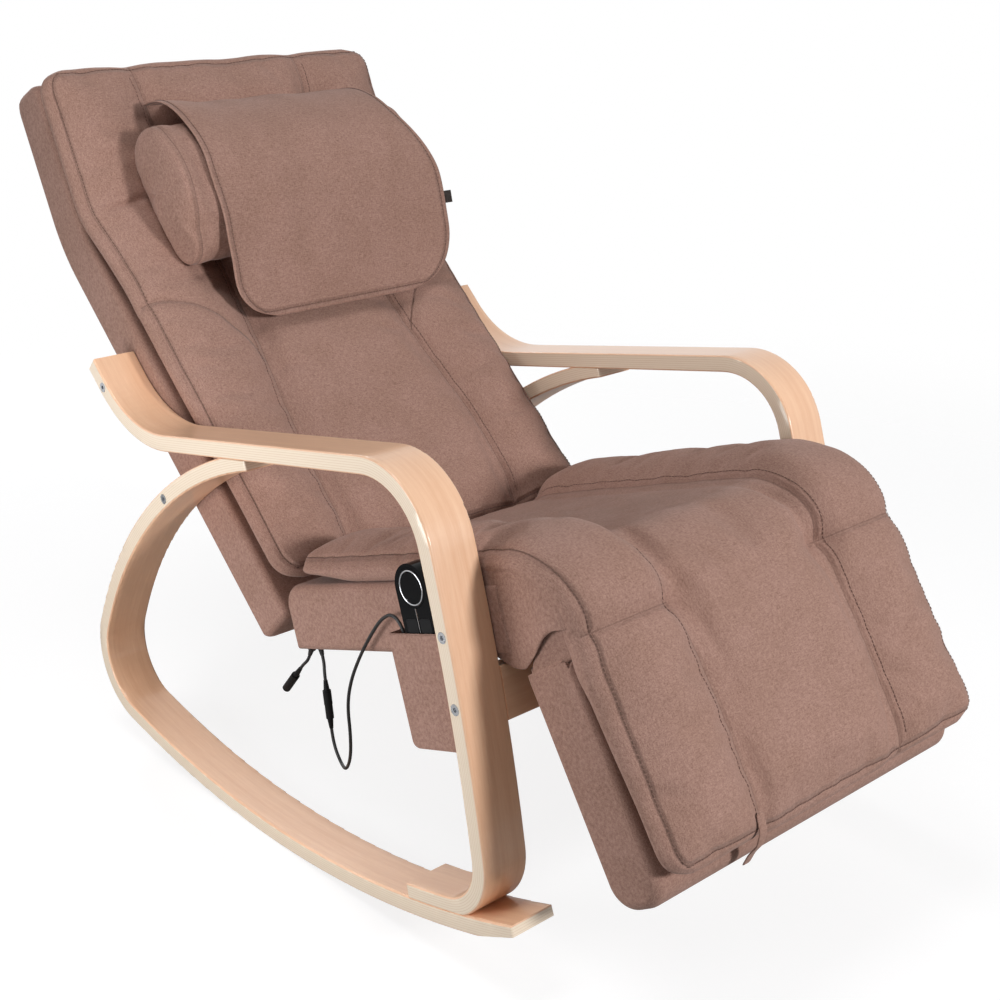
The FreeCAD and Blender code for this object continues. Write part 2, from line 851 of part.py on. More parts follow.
def control_box():
    """Driver box under the seat."""
    along = (control_box_from_front, control_box_from_front + control_box_length)
    middle = control_box_inset - strip_inner
    across = (middle - control_box_width / 2.0, middle + control_box_width / 2.0)
    box = seat.slab(along, (-control_box_height, 0.0), across)
    upright = [edge for edge in box.Edges if edge.BoundBox.XLength < 1e-6]
    return box.makeFillet(control_box_corner, upright)


def rear_brackets():
    """Bent plates that hold the rear of the seat to the foot of the back."""
    apex_off = seat.coordinates(back_low.at(0.0, back_thickness))[1]
    half = bracket_width / 2.0
    across = (bracket_spread - half, bracket_spread + half)
    seat_leaf = seat.slab((seat_depth, seat_depth + bracket_thickness),
                          (apex_off - bracket_seat_leaf, apex_off), across)
    back_leaf = back_low.slab((-bracket_thickness, 0.0),
                              (back_thickness - bracket_back_leaf, back_thickness), across)
    return both_sides([joined([seat_leaf, back_leaf])])


def footrest_block(inset):
    """The footrest with its rounded toe, or with inset the room inside it."""
    half_width = foot_panel_half_width - inset
    block = foot.slab((inset, foot_panel_length - inset), (inset, foot_panel_thickness - inset),
                      (-half_width, half_width))
    toes = cross_edges(block, foot.at(inset, inset), 1.0)
    toes += cross_edges(block, foot.at(inset, foot_panel_thickness - inset), 1.0)
    return block.makeFillet(foot_toe_radius - inset, toes)


def footrest_cover():
    outer = footrest_block(0.0)
    outer = outer.makeFillet(cover_corner_radius, side_edges(outer))
    return outer.cut(footrest_block(cover_wall))


def footrest_frame():
    """Wooden frame inside the footrest."""
    half_width = foot_panel_half_width - cover_wall
    inner = half_width - frame_rail_width
    middle = foot_panel_thickness / 2.0
    off = (middle - foot_rail_depth / 2.0, middle + foot_rail_depth / 2.0)
    ends = (foot_toe_radius, foot_panel_length - cover_wall)
    pieces = []
    for across in ((-half_width, -inner), (inner, half_width)):
        pieces.append(foot.slab(ends, off, across))
    for along in ((ends[0], ends[0] + frame_rail_width), (ends[1] - frame_rail_width, ends[1])):
        pieces.append(foot.slab(along, off, (-inner, inner)))
    return joined(pieces)


def hinge_barrel(radius, x):
    return seat.cross_rod(radius, -hinge_ahead, hinge_up, x)


def hinge_span(x0, x1):
    """Stretch of a hinge, measured from its middle, on the +X side."""
    return hinge_spread + x0, hinge_spread + x1


hinge_pin_half = hinge_leaf_width / 2.0 + hinge_pin_overhang


def hinge_bore():
    return hinge_barrel(hinge_pin_radius + fit_clearance, hinge_span(-hinge_pin_half, hinge_pin_half))


def hinge_seat_leaf():
    """Leaf on the front of the seat, with the middle knuckle."""
    half = hinge_leaf_width / 2.0
    knuckle = hinge_span(-hinge_knuckle_width / 2.0, hinge_knuckle_width / 2.0)
    low = hinge_up - hinge_knuckle_radius / 2.0
    high = hinge_up + hinge_knuckle_radius / 2.0
    plate = seat.slab((-hinge_leaf_thickness, 0.0), (cover_corner_radius, cover_corner_radius + hinge_leaf_length),
                      hinge_span(-half, half))
    neck = seat.slab((-hinge_leaf_thickness, 0.0), (low, cover_corner_radius), knuckle)
    web = seat.slab((-hinge_ahead, 0.0), (low, high), knuckle)
    return without(joined([plate, neck, web, hinge_barrel(hinge_knuckle_radius, knuckle)]), [hinge_bore()])


def hinge_foot_leaf():
    """Leaf on the top of the footrest, with the two outer knuckles."""
    half = hinge_leaf_width / 2.0
    inner = hinge_knuckle_width / 2.0 + hinge_knuckle_gap
    face = foot_panel_length
    low = hinge_off - hinge_knuckle_radius / 2.0
    high = hinge_off + hinge_knuckle_radius / 2.0
    pieces = [foot.slab((face, face + hinge_leaf_thickness),
                        (cover_corner_radius, cover_corner_radius + hinge_leaf_length), hinge_span(-half, half))]
    for across in (hinge_span(-half, -inner), hinge_span(inner, half)):
        pieces.append(foot.slab((face, foot_hinge_along), (low, high), across))
        pieces.append(hinge_barrel(hinge_knuckle_radius, across))
    return without(joined(pieces), [hinge_bore()])


def hinge_pin():
    return hinge_barrel(hinge_pin_radius, hinge_span(-hinge_pin_half, hinge_pin_half))


def mat_section(base, heading, thickness, share=1.0):
    """Cross-section of the mat: flat base, drawn-in sides, two bolsters and a lower middle."""
    height = thickness * share
    half = mat_half_width - mat_end_narrowing * (1.0 - share)
    inner = half - mat_side_draw
    edge = height * mat_edge_share
    groove = height - mat_channel_depth * share
    centre = height - mat_centre_drop * share
    crest_x = (inner + mat_channel_x) / 2.0

    def point(x, up):
        return vec(x, shifted(base, heading, up))

    edges = [
        line(point(-inner, 0.0), point(inner, 0.0)),
        arc(point(inner, 0.0), point(half, edge / 2.0), point(inner, edge)),
        arc(point(inner, edge), point(crest_x, height), point(mat_channel_x, groove)),
        arc(point(mat_channel_x, groove), point(0.0, centre), point(-mat_channel_x, groove)),
        arc(point(-mat_channel_x, groove), point(-crest_x, height), point(-inner, edge)),
        arc(point(-inner, edge), point(-half, edge / 2.0), point(-inner, 0.0)),
    ]
    return Part.Wire(edges)


def loft(wires):
    """Solid through a row of sections, straight from each to the next."""
    return Part.makeLoft(wires, True, True)


def end_rounding():
    """Distances from the end of a mat, and the share of its full section there."""
    steps = []
    for index in range(mat_end_steps + 1):
        turn = math.radians(90.0 * index / mat_end_steps)
        share = mat_end_share + (1.0 - mat_end_share) * math.sin(turn)
        steps.append((mat_end_round * (1.0 - math.cos(turn)), share))
    return steps


mat_over_back = back_thickness + mat_gap
mat_over_seat = seat_height + mat_gap
mat_over_foot = foot_panel_thickness + mat_gap


def back_mat():
    """Mat on the back, from the crease over the seat to the top."""
    top = back_top + back_mat_overrun
    places = [(back_mat_start + distance, share) for distance, share in end_rounding()]
    for step in range(mat_bend_steps + 1):
        places.append((back_low_straight + (back_bend_end - back_low_straight) * step / mat_bend_steps, 1.0))
    places += [(top - distance, share) for distance, share in reversed(end_rounding())]
    wires = []
    for place, share in places:
        heading = back_path.pose(place)[1]
        base = back_path.at(place, mat_over_back)
        wires.append(mat_section(base, heading + 90.0, back_mat_thickness, share))
    return loft(wires)


def seat_mat():
    """Mat on the seat: its rear end leans like the back, its front falls towards the knee."""
    upright = 90.0 - seat_angle
    rear = seat_depth - seat_mat_rear_gap
    stations = []
    for distance, share in end_rounding():
        lean = (upright - back_low_angle) * (1.0 - distance / mat_end_round)
        stations.append((rear - distance, upright - lean, seat_mat_thickness, share))
    front = mat_gap - hinge_ahead
    fall = seat_mat_thickness - seat_mat_front_thickness
    for step in range(mat_bend_steps + 1):
        turn = math.radians(90.0 * step / mat_bend_steps)
        along = front + seat_mat_fall_length * math.cos(turn)
        stations.append((along, upright, seat_mat_thickness - fall * (1.0 - math.cos(turn)) ** 2, 1.0))
    return loft([mat_section(seat.at(along, mat_over_seat), heading, thickness, share)
                 for along, heading, thickness, share in stations])


knee_seat_radius = mat_over_seat - hinge_up
knee_foot_radius = mat_over_foot - hinge_off


def knee_mat():
    """The bend of the mat over the footrest hinge."""
    first = 90.0 - seat_angle
    last = 90.0 + foot_tilt
    wires = []
    for step in range(mat_bend_steps + 1):
        part = step / mat_bend_steps
        heading = first + (last - first) * part
        radius = knee_seat_radius + (knee_foot_radius - knee_seat_radius) * part
        thickness = seat_mat_front_thickness + (foot_mat_thickness - seat_mat_front_thickness) * part
        wires.append(mat_section(shifted(hinge, heading, radius), heading, thickness))
    return loft(wires)


def foot_mat():
    """Mat on the footrest, from the knee to the toe."""
    places = [(foot_mat_from_toe + distance, share) for distance, share in end_rounding()]
    places.append((foot_hinge_along - mat_gap, 1.0))
    return loft([mat_section(foot.at(along, mat_over_foot), foot_tilt + 90.0, foot_mat_thickness, share)
                 for along, share in places])


# The head cushion lies in the bend of the back, so its rear is folded like the mat there
head_face = mat_over_back + back_mat_thickness
pillow_base = head_face + pillow_lift
pillow_middle = back_high.at(pillow_crest_along, pillow_base + pillow_height * pillow_middle_share)


def pillow_section(x, share):
    """Section of the cushion across the back, drawn in towards its middle by a share."""
    def point(plane, along, height):
        place = plane.at(along, pillow_base + height)
        drawn = [middle + (value - middle) * share for value, middle in zip(place, pillow_middle)]
        return vec(x, drawn)

    top_foot = point(back_high, pillow_top - pillow_nose, 0.0)
    top_nose = point(back_high, pillow_top, pillow_height * pillow_top_nose_share)
    top_shoulder = point(back_high, pillow_top - pillow_top_shoulder, pillow_height * pillow_top_shoulder_share)
    crest = point(back_high, pillow_crest_along, pillow_height)
    low_shoulder = point(back_high, pillow_low + pillow_low_shoulder, pillow_height * pillow_low_shoulder_share)
    low_nose = point(back_high, pillow_low, pillow_height * pillow_low_nose_share)
    low_foot = point(back_low, back_low_straight - pillow_below_bend, 0.0)
    fold_high = point(back_high, bend_reach, 0.0)
    fold_low = point(back_low, back_low_straight, 0.0)
    edges = [
        line(fold_high, top_foot),
        arc(top_foot, top_nose, top_shoulder),
        arc(top_shoulder, crest, low_shoulder),
        arc(low_shoulder, low_nose, low_foot),
        line(low_foot, fold_low),
        line(fold_low, fold_high),
    ]
    return Part.Wire(edges)


def head_pillow():
    """Head cushion, rounded towards both its ends."""
    ends = []
    for step in range(pillow_end_steps + 1):
        turn = math.radians(90.0 * step / pillow_end_steps)
        share = pillow_end_share + (1.0 - pillow_end_share) * math.sin(turn)
        ends.append((pillow_end_length * (1.0 - math.cos(turn)), share))
    wires = [pillow_section(distance - pillow_left, share) for distance, share in ends]
    wires += [pillow_section(pillow_right - distance, share) for distance, share in reversed(ends)]
    return loft(wires)


flap_seam = back_high.at(flap_seam_along, head_face + flap_seam_lift)
flap_path = Path(flap_seam, back_high_angle + flap_start_heading)
flap_path.arc(flap_nose_radius, flap_nose_angle)
flap_path.arc(flap_crest_radius, flap_crest_angle)
flap_path.arc(flap_fall_radius, flap_fall_angle)
flap_path.straight(flap_fall_straight)


def head_flap():
    """Cloth that comes down over the cushion from a seam on the back."""
    return flap_path.band(-flap_thickness, 0.0, -flap_left, flap_right)


def flap_tag():
    """Bare cloth tag on the side hem of the flap."""
    place = flap_path.length() - tag_from_hem
    middle = flap_path.at(place, -flap_thickness / 2.0)
    plane = Plane(middle, flap_path.pose(place)[1])
    half = tag_thickness / 2.0
    return plane.slab((-tag_length / 2.0, tag_length / 2.0), (-half, half), (flap_right, flap_right + tag_width))


# Hand control: it stands in the pocket on the seat's right side, its face outwards, behind the leg
leg_beside_pocket = arm_path.crossing(seat, pocket_low, leg_start, leg_end, strip_thickness)
leg_rear_along = seat.coordinates(arm_path.at(leg_beside_pocket, strip_thickness))[0]
control_centre = leg_rear_along + pocket_leg_gap + pocket_half_width
pocket_back_x = -strip_inner + cover_side_clearance - mat_gap
pocket_inner_x = pocket_back_x - pocket_wall
control_back_x = pocket_inner_x - control_clearance
control_face_x = control_back_x - control_thickness
control_split_x = (control_back_x + control_face_x) / 2.0
pocket_front_x = pocket_inner_x - pocket_room
control_top = control_low + control_length
ring_off = control_top - ring_below_top


def remote_pocket():
    """Cloth pocket, open at the top."""
    half = pocket_half_width
    outer = seat.slab((control_centre - half, control_centre + half), (pocket_low, pocket_mouth),
                      (pocket_front_x - pocket_wall, pocket_back_x))
    low = pocket_low + pocket_wall
    inner = seat.slab((control_centre - half + pocket_wall, control_centre + half - pocket_wall),
                      (low, pocket_mouth + pocket_wall), (pocket_front_x, pocket_inner_x))
    corners = []
    for side in (-1, 1):
        corners += cross_edges(outer, seat.at(control_centre + side * half, pocket_low), 1.0)
    inner_corners = []
    for side in (-1, 1):
        inner_corners += cross_edges(inner, seat.at(control_centre + side * (half - pocket_wall), low), 1.0)
    outer = outer.makeFillet(pocket_corner_radius, corners)
    inner = inner.makeFillet(pocket_corner_radius - pocket_wall, inner_corners)
    return outer.cut(inner)


def control_block(inset, x0, x1):
    """Body of the hand control, round at the top, with its outline set in."""
    half = control_half_width - inset
    low = control_low + inset
    ring_height = control_top - control_half_width
    points = [(control_centre - half, ring_height), (control_centre, control_top - inset),
              (control_centre + half, ring_height), (control_centre + half, low), (control_centre - half, low)]
    places = [vec(x0, seat.at(*point)) for point in points]
    edges = [arc(places[0], places[1], places[2]), line(places[2], places[3]),
             line(places[3], places[4]), line(places[4], places[0])]
    block = Part.Face(Part.Wire(edges)).extrude(Vector(x1 - x0, 0, 0))
    corners = []
    for side in (-1, 1):
        corners += cross_edges(block, seat.at(control_centre + side * half, low), 1.0)
    return block.makeFillet(control_foot_radius - inset, corners)


def control_disc(radius, x0, x1):
    low, high = min(x0, x1), max(x0, x1)
    return seat.cross_rod(radius, control_centre, ring_off, (low, high))


def key_block(column, row, grow, x0, x1):
    """One key, or with grow the hole it moves in."""
    along = control_centre + column * key_column_spread
    off = control_top - key_first_drop - row * key_row_step
    half_width = key_width / 2.0 + grow
    half_height = key_height / 2.0 + grow
    block = seat.slab((along - half_width, along + half_width), (off - half_height, off + half_height), (x0, x1))
    upright = [edge for edge in block.Edges if edge.BoundBox.XLength > 1.0]
    return block.makeFillet(key_corner_radius + grow, upright)


key_places = [(column, row) for row in range(key_rows) for column in (-1, 1)]
key_face_x = control_face_x - key_proud
key_back_x = control_face_x + button_depth


def remote_front():
    """Front half of the casing, open at the parting face."""
    shell = control_block(0.0, control_face_x, control_split_x)
    shell = shell.cut(control_block(control_wall, control_face_x + control_wall, control_split_x))
    cutters = [control_disc(ring_inner_radius, control_face_x - cutter_reach, control_face_x + control_wall)]
    cutters.append(control_disc(ring_outer_radius, control_face_x - cutter_reach, control_face_x + ring_depth))
    for column, row in key_places:
        cutters.append(key_block(column, row, button_clearance, control_face_x - cutter_reach, control_split_x))
    cutters.append(divider(control_face_x - cutter_reach, control_face_x + ring_depth / 2.0))
    return without(shell, cutters)


def divider(x0, x1):
    """Bright strip between the two rows of keys."""
    high = control_top - key_first_drop + key_height / 2.0
    half = divider_width / 2.0
    return seat.slab((control_centre - half, control_centre + half), (high - divider_length, high), (x0, x1))


def remote_back():
    """Rear half of the casing, open at the parting face."""
    shell = control_block(0.0, control_split_x, control_back_x)
    return shell.cut(control_block(control_wall, control_split_x, control_back_x - control_wall))


def remote_trim():
    """Bright ring and strip set into the front."""
    ring = control_disc(ring_outer_radius, control_face_x - ring_proud, control_face_x + ring_depth)
    ring = ring.cut(control_disc(ring_inner_radius, control_face_x - cutter_reach, control_face_x + ring_depth))
    strip = divider(control_face_x - ring_proud / 3.0, control_face_x + ring_depth / 2.0)
    return Part.makeCompound([ring, strip])


def remote_button():
    """Round main button inside the ring."""
    return control_disc(ring_inner_radius - button_clearance, control_face_x - ring_proud / 2.0,
                        control_face_x + button_depth)


def remote_board():
    """Circuit board on the floor of the rear half."""
    x1 = control_back_x - control_wall
    return control_block(control_wall + board_edge_gap, x1 - board_thickness, x1)


def tapered(start, axis, lengths_and_radii):
    """Turned piece: a row of cones along an axis."""
    pieces = []
    place = start
    for length, first, last in lengths_and_radii:
        if first == last:
            pieces.append(Part.makeCylinder(first, length, place, axis))
        else:
            pieces.append(Part.makeCone(first, last, length, place, axis))
        place = place + axis * length
    return joined(pieces)


relief_tip_radius = lead_radius + relief_tip_wall
relief_start = vec(control_split_x, seat.at(control_centre, control_low))
seat_down = seat.off_axis() * -1.0


def remote_relief():
    """Strain relief at the foot of the hand control."""
    return tapered(relief_start, seat_down, [(control_relief_length, relief_radius, relief_tip_radius)])


# Leads: the power lead ends in its socket, the control lead goes through a plug to the hand control
grommet_parts = [(grommet_inside, relief_radius, relief_radius),
                 (grommet_flange_height, grommet_flange_radius, grommet_flange_radius),
                 (grommet_tip_length, relief_radius, relief_tip_radius)]
control_grommet_x = control_grommet_inset - strip_inner
power_grommet_x = power_grommet_inset - strip_inner
grommet_along = seat_depth - grommet_from_rear
control_grommet_start = vec(control_grommet_x, seat.at(grommet_along, grommet_inside))
power_axis = vec(0.0, direction(-90.0 - seat_angle + power_grommet_tilt))
power_grommet_start = vec(power_grommet_x, seat.at(grommet_along, 0.0)) - power_axis * grommet_inside
grommet_length = grommet_inside + grommet_flange_height + grommet_tip_length


def control_grommet():
    return tapered(control_grommet_start, seat_down, grommet_parts)


def power_grommet():
    return tapered(power_grommet_start, power_axis, grommet_parts)


control_exit = control_grommet_start + seat_down * grommet_length
power_exit = power_grommet_start + power_axis * grommet_length
control_plug_x = control_grommet_x - lead_side_step
power_socket_x = power_grommet_x - lead_side_step
control_plug_start = vec(control_plug_x, seat.at(grommet_along + plug_start[0], plug_start[1]))
power_socket_start = vec(power_socket_x, seat.at(grommet_along + socket_start[0], socket_start[1]))
control_axis = vec(0.0, direction(plug_heading))
socket_axis = vec(0.0, direction(socket_heading))
control_socket_end = control_plug_start + control_axis * (2.0 * connector_length)
remote_relief_end = relief_start + seat_down * control_relief_length
power_route = [
    power_exit,
    power_exit + power_axis * lead_short_run,
    power_socket_start - socket_axis * lead_short_run,
    power_socket_start,
]
control_route = [
    control_exit,
    control_exit + seat_down * lead_short_run,
    control_plug_start - control_axis * lead_short_run,
    control_plug_start,
]

# Bends of the hand control's lead outside the pocket: shares of the way across from the plug
# and of the way along from the hand control to the plug, and height beside the seat
outer_bends = [
    (0.10, 1.010, -157.0),
    (0.42, 0.913, -160.0),
    (0.67, 0.802, -137.0),
    (0.80, 0.735, -104.0),
    (0.87, 0.692, -64.0),
    (0.89, 0.618, -31.0),
    (0.92, 0.500, 2.0),
    (0.97, 0.376, 30.0),
    (0.99, 0.282, 48.0),
    (1.00, 0.201, 54.0),
]
# Bends inside the pocket: place behind the hand control's middle, and height beside the seat
pocket_bends = [
    (46.0, 37.0),
    (46.5, 6.0),
    (42.0, -26.0),
    (44.0, -57.0),
    (39.5, -83.7),
    (26.3, -96.0),
    (12.3, -96.3),
]
remote_route = [control_socket_end, control_socket_end + control_axis * plug_run]
for across, back, off in outer_bends:
    x = control_plug_x + (control_split_x - control_plug_x) * across
    along = control_centre + (grommet_along + plug_start[0] - control_centre) * back
    remote_route.append(vec(x, seat.at(along, off)))
for behind, off in pocket_bends:
    remote_route.append(vec(control_split_x, seat.at(control_centre + behind, off)))
remote_route += [remote_relief_end + seat_down * relief_run, remote_relief_end]


def tube(name, route):
    """Round lead along a route of straight runs joined by tangent arcs."""
    edges = []
    radii = []
    place = route[0]
    for before, corner, after in zip(route, route[1:], route[2:]):
        into = (corner - before).normalize()
        out = (after - corner).normalize()
        turn = into.getAngle(out)
        cut = lead_bend_share * min((corner - before).Length, (after - corner).Length)
        radius = cut / math.tan(turn / 2.0)
        radii.append(radius)
        first = corner - into * cut
        last = corner + out * cut
        inward = (out - into).normalize()
        centre = corner + inward * (radius / math.cos(turn / 2.0))
        middle = centre - inward * radius
        edges.append(line(place, first))
        edges.append(arc(first, middle, last))
        place = last
    edges.append(line(place, route[-1]))
    wire = Part.Wire(edges)
    section = Part.Wire(Part.makeCircle(lead_radius, route[0], (route[1] - route[0]).normalize()))
    solid = wire.makePipeShell([section], True, False)
    expected = math.pi * lead_radius ** 2 * wire.Length
    print(name, "length %.1f" % wire.Length, "volume share %.4f" % (solid.Volume / expected),
          "radii", " ".join("%.0f" % radius for radius in radii))
    return solid


def control_plug():
    """Upper half of the connector in the control lead."""
    return tapered(control_plug_start, control_axis,
                   [(connector_relief, relief_tip_radius, relief_radius),
                    (connector_length - connector_relief, connector_radius, connector_radius)])


def control_socket():
    """Lower half of the connector in the control lead."""
    start = control_plug_start + control_axis * connector_length
    socket_end_radius = connector_radius - connector_step
    return tapered(start, control_axis,
                   [(connector_length - connector_relief, socket_end_radius, socket_end_radius),
                    (connector_relief, relief_radius, relief_tip_radius)])


def power_socket():
    """Low-voltage socket at the end of the power lead, with its middle pin."""
    body = tapered(power_socket_start, socket_axis,
                   [(socket_relief, relief_tip_radius, relief_radius),
                    (socket_length - socket_relief, socket_radius, socket_radius)])
    mouth = power_socket_start + socket_axis * socket_length
    bore = Part.makeCylinder(socket_bore_radius, socket_bore_depth, mouth, socket_axis * -1.0)
    pin = Part.makeCylinder(socket_pin_radius, socket_bore_depth, mouth, socket_axis * -1.0)
    return body.cut(bore.cut(pin))


def build():
    """Every piece of the chair by its name."""
    left_arm, left_rocker = left_side_frame()
    bolts = [bolt(place[0]) for place in bolt_places]
    nuts = [barrel_nut(*place) for place in bolt_places]
    pieces = {
        "left_arm_strip": left_arm,
        "right_arm_strip": mirrored(left_arm),
        "left_rocker_strip": left_rocker,
        "right_rocker_strip": mirrored(left_rocker),
        "front_rail": front_rail(),
        "frame_bolts": both_sides(bolts),
        "barrel_nuts": both_sides(nuts),
        "foot_screws": both_sides(foot_screws()),
        "arm_screws": both_sides(arm_screws()),
        "back_cover": back_cover(),
        "back_frame": back_frame(),
        "guide_rods": Part.makeCompound(guide_rods()),
        "lead_screw": lead_screw(),
        "lift_motor": lift_motor(),
        "massage_carriage": massage_carriage(),
        "knead_motor": knead_motor(),
        "knead_shaft": head_shaft(),
        "massage_heads": Part.makeCompound([massage_head(side) for side in (-1, 1)]),
        "back_mat": back_mat(),
        "seat_cover": seat_cover(),
        "seat_frame": seat_frame(),
        "seat_deck": seat_deck(),
        "vibration_motor": vibration_motor(),
        "vibration_weight": vibration_weight(),
        "control_box": control_box(),
        "rear_brackets": rear_brackets(),
        "seat_mat": seat_mat(),
        "knee_mat": knee_mat(),
        "footrest_cover": footrest_cover(),
        "footrest_frame": footrest_frame(),
        "hinge_seat_leaves": both_sides([hinge_seat_leaf()]),
        "hinge_foot_leaves": both_sides([hinge_foot_leaf()]),
        "hinge_pins": both_sides([hinge_pin()]),
        "foot_mat": foot_mat(),
        "head_pillow": head_pillow(),
        "head_flap": head_flap(),
        "flap_tag": flap_tag(),
        "remote_pocket": remote_pocket(),
        "remote_back": remote_back(),
        "remote_front": remote_front(),
        "remote_trim": remote_trim(),
        "remote_button": remote_button(),
        "remote_board": remote_board(),
        "remote_relief": remote_relief(),
        "power_grommet": power_grommet(),
        "control_grommet": control_grommet(),
    }
    for number, (column, row) in enumerate(key_places):
        pieces["remote_key_%d" % (number + 1)] = key_block(column, row, 0.0, key_face_x, key_back_x)
    leads = {
        "power_lead": tube("power_lead", power_route),
        "power_socket": power_socket(),
        "control_lead": tube("control_lead", control_route),
        "control_plug": control_plug(),
        "control_socket": control_socket(),
        "remote_cord": tube("remote_cord", remote_route),
    }
    return pieces, leads


def floor_middle(pieces):
    """Middle of the chair's outline along Y."""
    boxes = [piece.optimalBoundingBox(False) for piece in pieces.values()]
    return (min(box.YMin for box in boxes) + max(box.YMax for box in boxes)) / 2.0


# The origin is on the floor, at the middle of the chair's outline without its leads
pieces, leads = build()
origin_shift = Vector(0, -floor_middle(pieces), 0)
pieces.update(leads)
os.makedirs("parts", exist_ok=True)
for name, piece in pieces.items():
    piece.translate(origin_shift)
    piece.exportStep("parts/%s.step" % name)
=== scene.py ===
import bmesh
import bpy
import json
import math
import numpy as np
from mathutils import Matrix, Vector, noise

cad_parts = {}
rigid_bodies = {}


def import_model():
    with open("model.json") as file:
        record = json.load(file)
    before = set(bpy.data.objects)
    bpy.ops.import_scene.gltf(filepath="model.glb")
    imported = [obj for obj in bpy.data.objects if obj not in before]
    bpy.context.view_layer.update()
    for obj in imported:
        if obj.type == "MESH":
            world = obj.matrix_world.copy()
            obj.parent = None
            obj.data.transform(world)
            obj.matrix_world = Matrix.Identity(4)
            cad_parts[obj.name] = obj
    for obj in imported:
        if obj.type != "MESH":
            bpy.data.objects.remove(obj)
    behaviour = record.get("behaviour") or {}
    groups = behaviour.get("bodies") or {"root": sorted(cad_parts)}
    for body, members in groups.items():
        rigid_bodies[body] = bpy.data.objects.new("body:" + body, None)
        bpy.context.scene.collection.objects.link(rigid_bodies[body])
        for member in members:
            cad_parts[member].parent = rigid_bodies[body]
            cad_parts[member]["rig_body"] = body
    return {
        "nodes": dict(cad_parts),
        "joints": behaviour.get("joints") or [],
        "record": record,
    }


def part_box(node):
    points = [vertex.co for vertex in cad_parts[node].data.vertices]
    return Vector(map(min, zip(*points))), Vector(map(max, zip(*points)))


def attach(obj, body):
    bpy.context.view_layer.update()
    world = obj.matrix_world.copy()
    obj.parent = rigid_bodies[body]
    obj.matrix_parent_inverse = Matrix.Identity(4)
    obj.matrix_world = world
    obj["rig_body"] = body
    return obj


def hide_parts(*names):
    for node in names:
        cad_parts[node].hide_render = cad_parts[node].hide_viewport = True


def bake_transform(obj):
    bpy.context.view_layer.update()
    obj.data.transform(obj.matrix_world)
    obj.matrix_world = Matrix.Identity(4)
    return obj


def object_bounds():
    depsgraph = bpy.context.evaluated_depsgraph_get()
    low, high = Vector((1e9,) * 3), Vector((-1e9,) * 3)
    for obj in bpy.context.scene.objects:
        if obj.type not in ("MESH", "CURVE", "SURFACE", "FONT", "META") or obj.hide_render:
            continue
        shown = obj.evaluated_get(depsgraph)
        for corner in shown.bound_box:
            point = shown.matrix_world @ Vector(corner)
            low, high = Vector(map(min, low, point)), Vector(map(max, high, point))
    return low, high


# The looks of a massage rocking chair: bent plywood side frames, padded back and seat, hinged footrest,
# head cushion under a flap, and a hand control in a side pocket. Metres; -Y is the way the sitter faces.

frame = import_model()
nodes = frame["nodes"]
joints = {joint["name"]: joint for joint in frame["joints"]}
size_at_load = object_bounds()
scene = bpy.context.scene


def placed(name, data):
    """A new object in the scene."""
    thing = bpy.data.objects.new(name, data)
    scene.collection.objects.link(thing)
    return thing


def aim(thing, place, target):
    thing.location = place
    thing.rotation_mode = "QUATERNION"
    thing.rotation_quaternion = (Vector(target) - Vector(place)).to_track_quat("-Z", "Y")


def ahead(turn):
    """The direction of a heading in the side view."""
    return np.array([math.cos(turn), math.sin(turn)])


def left_of(turn):
    """The direction to the left of a heading."""
    return np.array([-math.sin(turn), math.cos(turn)])


class Path:
    """A side-view line of straight runs and tangent arcs, left turns positive, headings in degrees."""

    def __init__(self, start, heading):
        self.start = np.array(start, float)
        self.heading = math.radians(heading)
        self.runs = []

    def straight(self, length):
        self.runs.append((length, 0.0))
        return self

    def arc(self, radius, turn):
        self.runs.append((radius * math.radians(abs(turn)), math.radians(turn)))
        return self

    def length(self):
        return sum(run[0] for run in self.runs)

    def pose(self, distance):
        """Point and heading at a distance along the line."""
        point, heading = self.start, self.heading
        for index, (length, turn) in enumerate(self.runs):
            last = index == len(self.runs) - 1
            part = distance if last else min(distance, length)
            if turn:
                radius = length / turn
                bend = turn * part / length
                centre = point + radius * left_of(heading)
                heading = heading + bend
                point = centre - radius * left_of(heading)
            else:
                point = point + part * ahead(heading)
            distance -= part
            if distance <= 0.0 and not last:
                break
        return point, heading


class Board:
    """A tilted plane across the chair: along it, and off it to the left, placed by one known point."""

    def __init__(self, angle, point, along, off):
        angle = math.radians(angle)
        self.along = ahead(angle)
        self.up = left_of(angle)
        self.origin = np.array(point) - self.along * along - self.up * off

    def at(self, along, off):
        return self.origin + self.along * along + self.up * off

    def point(self, x, along, off):
        y, z = self.at(along, off)
        return Vector((x, y, z))


# The boards, from the joints of the frame: where the hinge and the screw lie on them, along and off
hinge_on_seat = (-0.020, 0.006)
hinge_on_foot = (0.291, 0.024)
screw_on_back = (0.350, 0.026)
foot_angle = 57.0
hinge = np.array(joints["footrest_tilt"]["pos_m"][1:])
seat_up = joints["control_lift"]["axis"]
seat_angle = -math.degrees(math.atan2(seat_up[1], seat_up[2]))
seat = Board(seat_angle, hinge, *hinge_on_seat)
foot = Board(foot_angle, hinge, *hinge_on_foot)
back_axis = joints["massage_travel"]["axis"]
back_angle = math.degrees(math.atan2(back_axis[2], back_axis[1]))
back = Board(back_angle, joints["screw_turn"]["pos_m"][1:], *screw_on_back)
back_path = Path(back.origin, back_angle).straight(0.592).arc(0.255, 20.6).straight(0.172)

# Camera as in the photo
camera_data = bpy.data.cameras.new("camera")
camera_data.sensor_width = 36.0
camera_data.lens = 57.618
camera_place = (-1.3079, -1.5188, 1.1345)
camera_target = (0.0002, -0.0751, 0.4054)
scene.camera = placed("camera", camera_data)
aim(scene.camera, camera_place, camera_target)

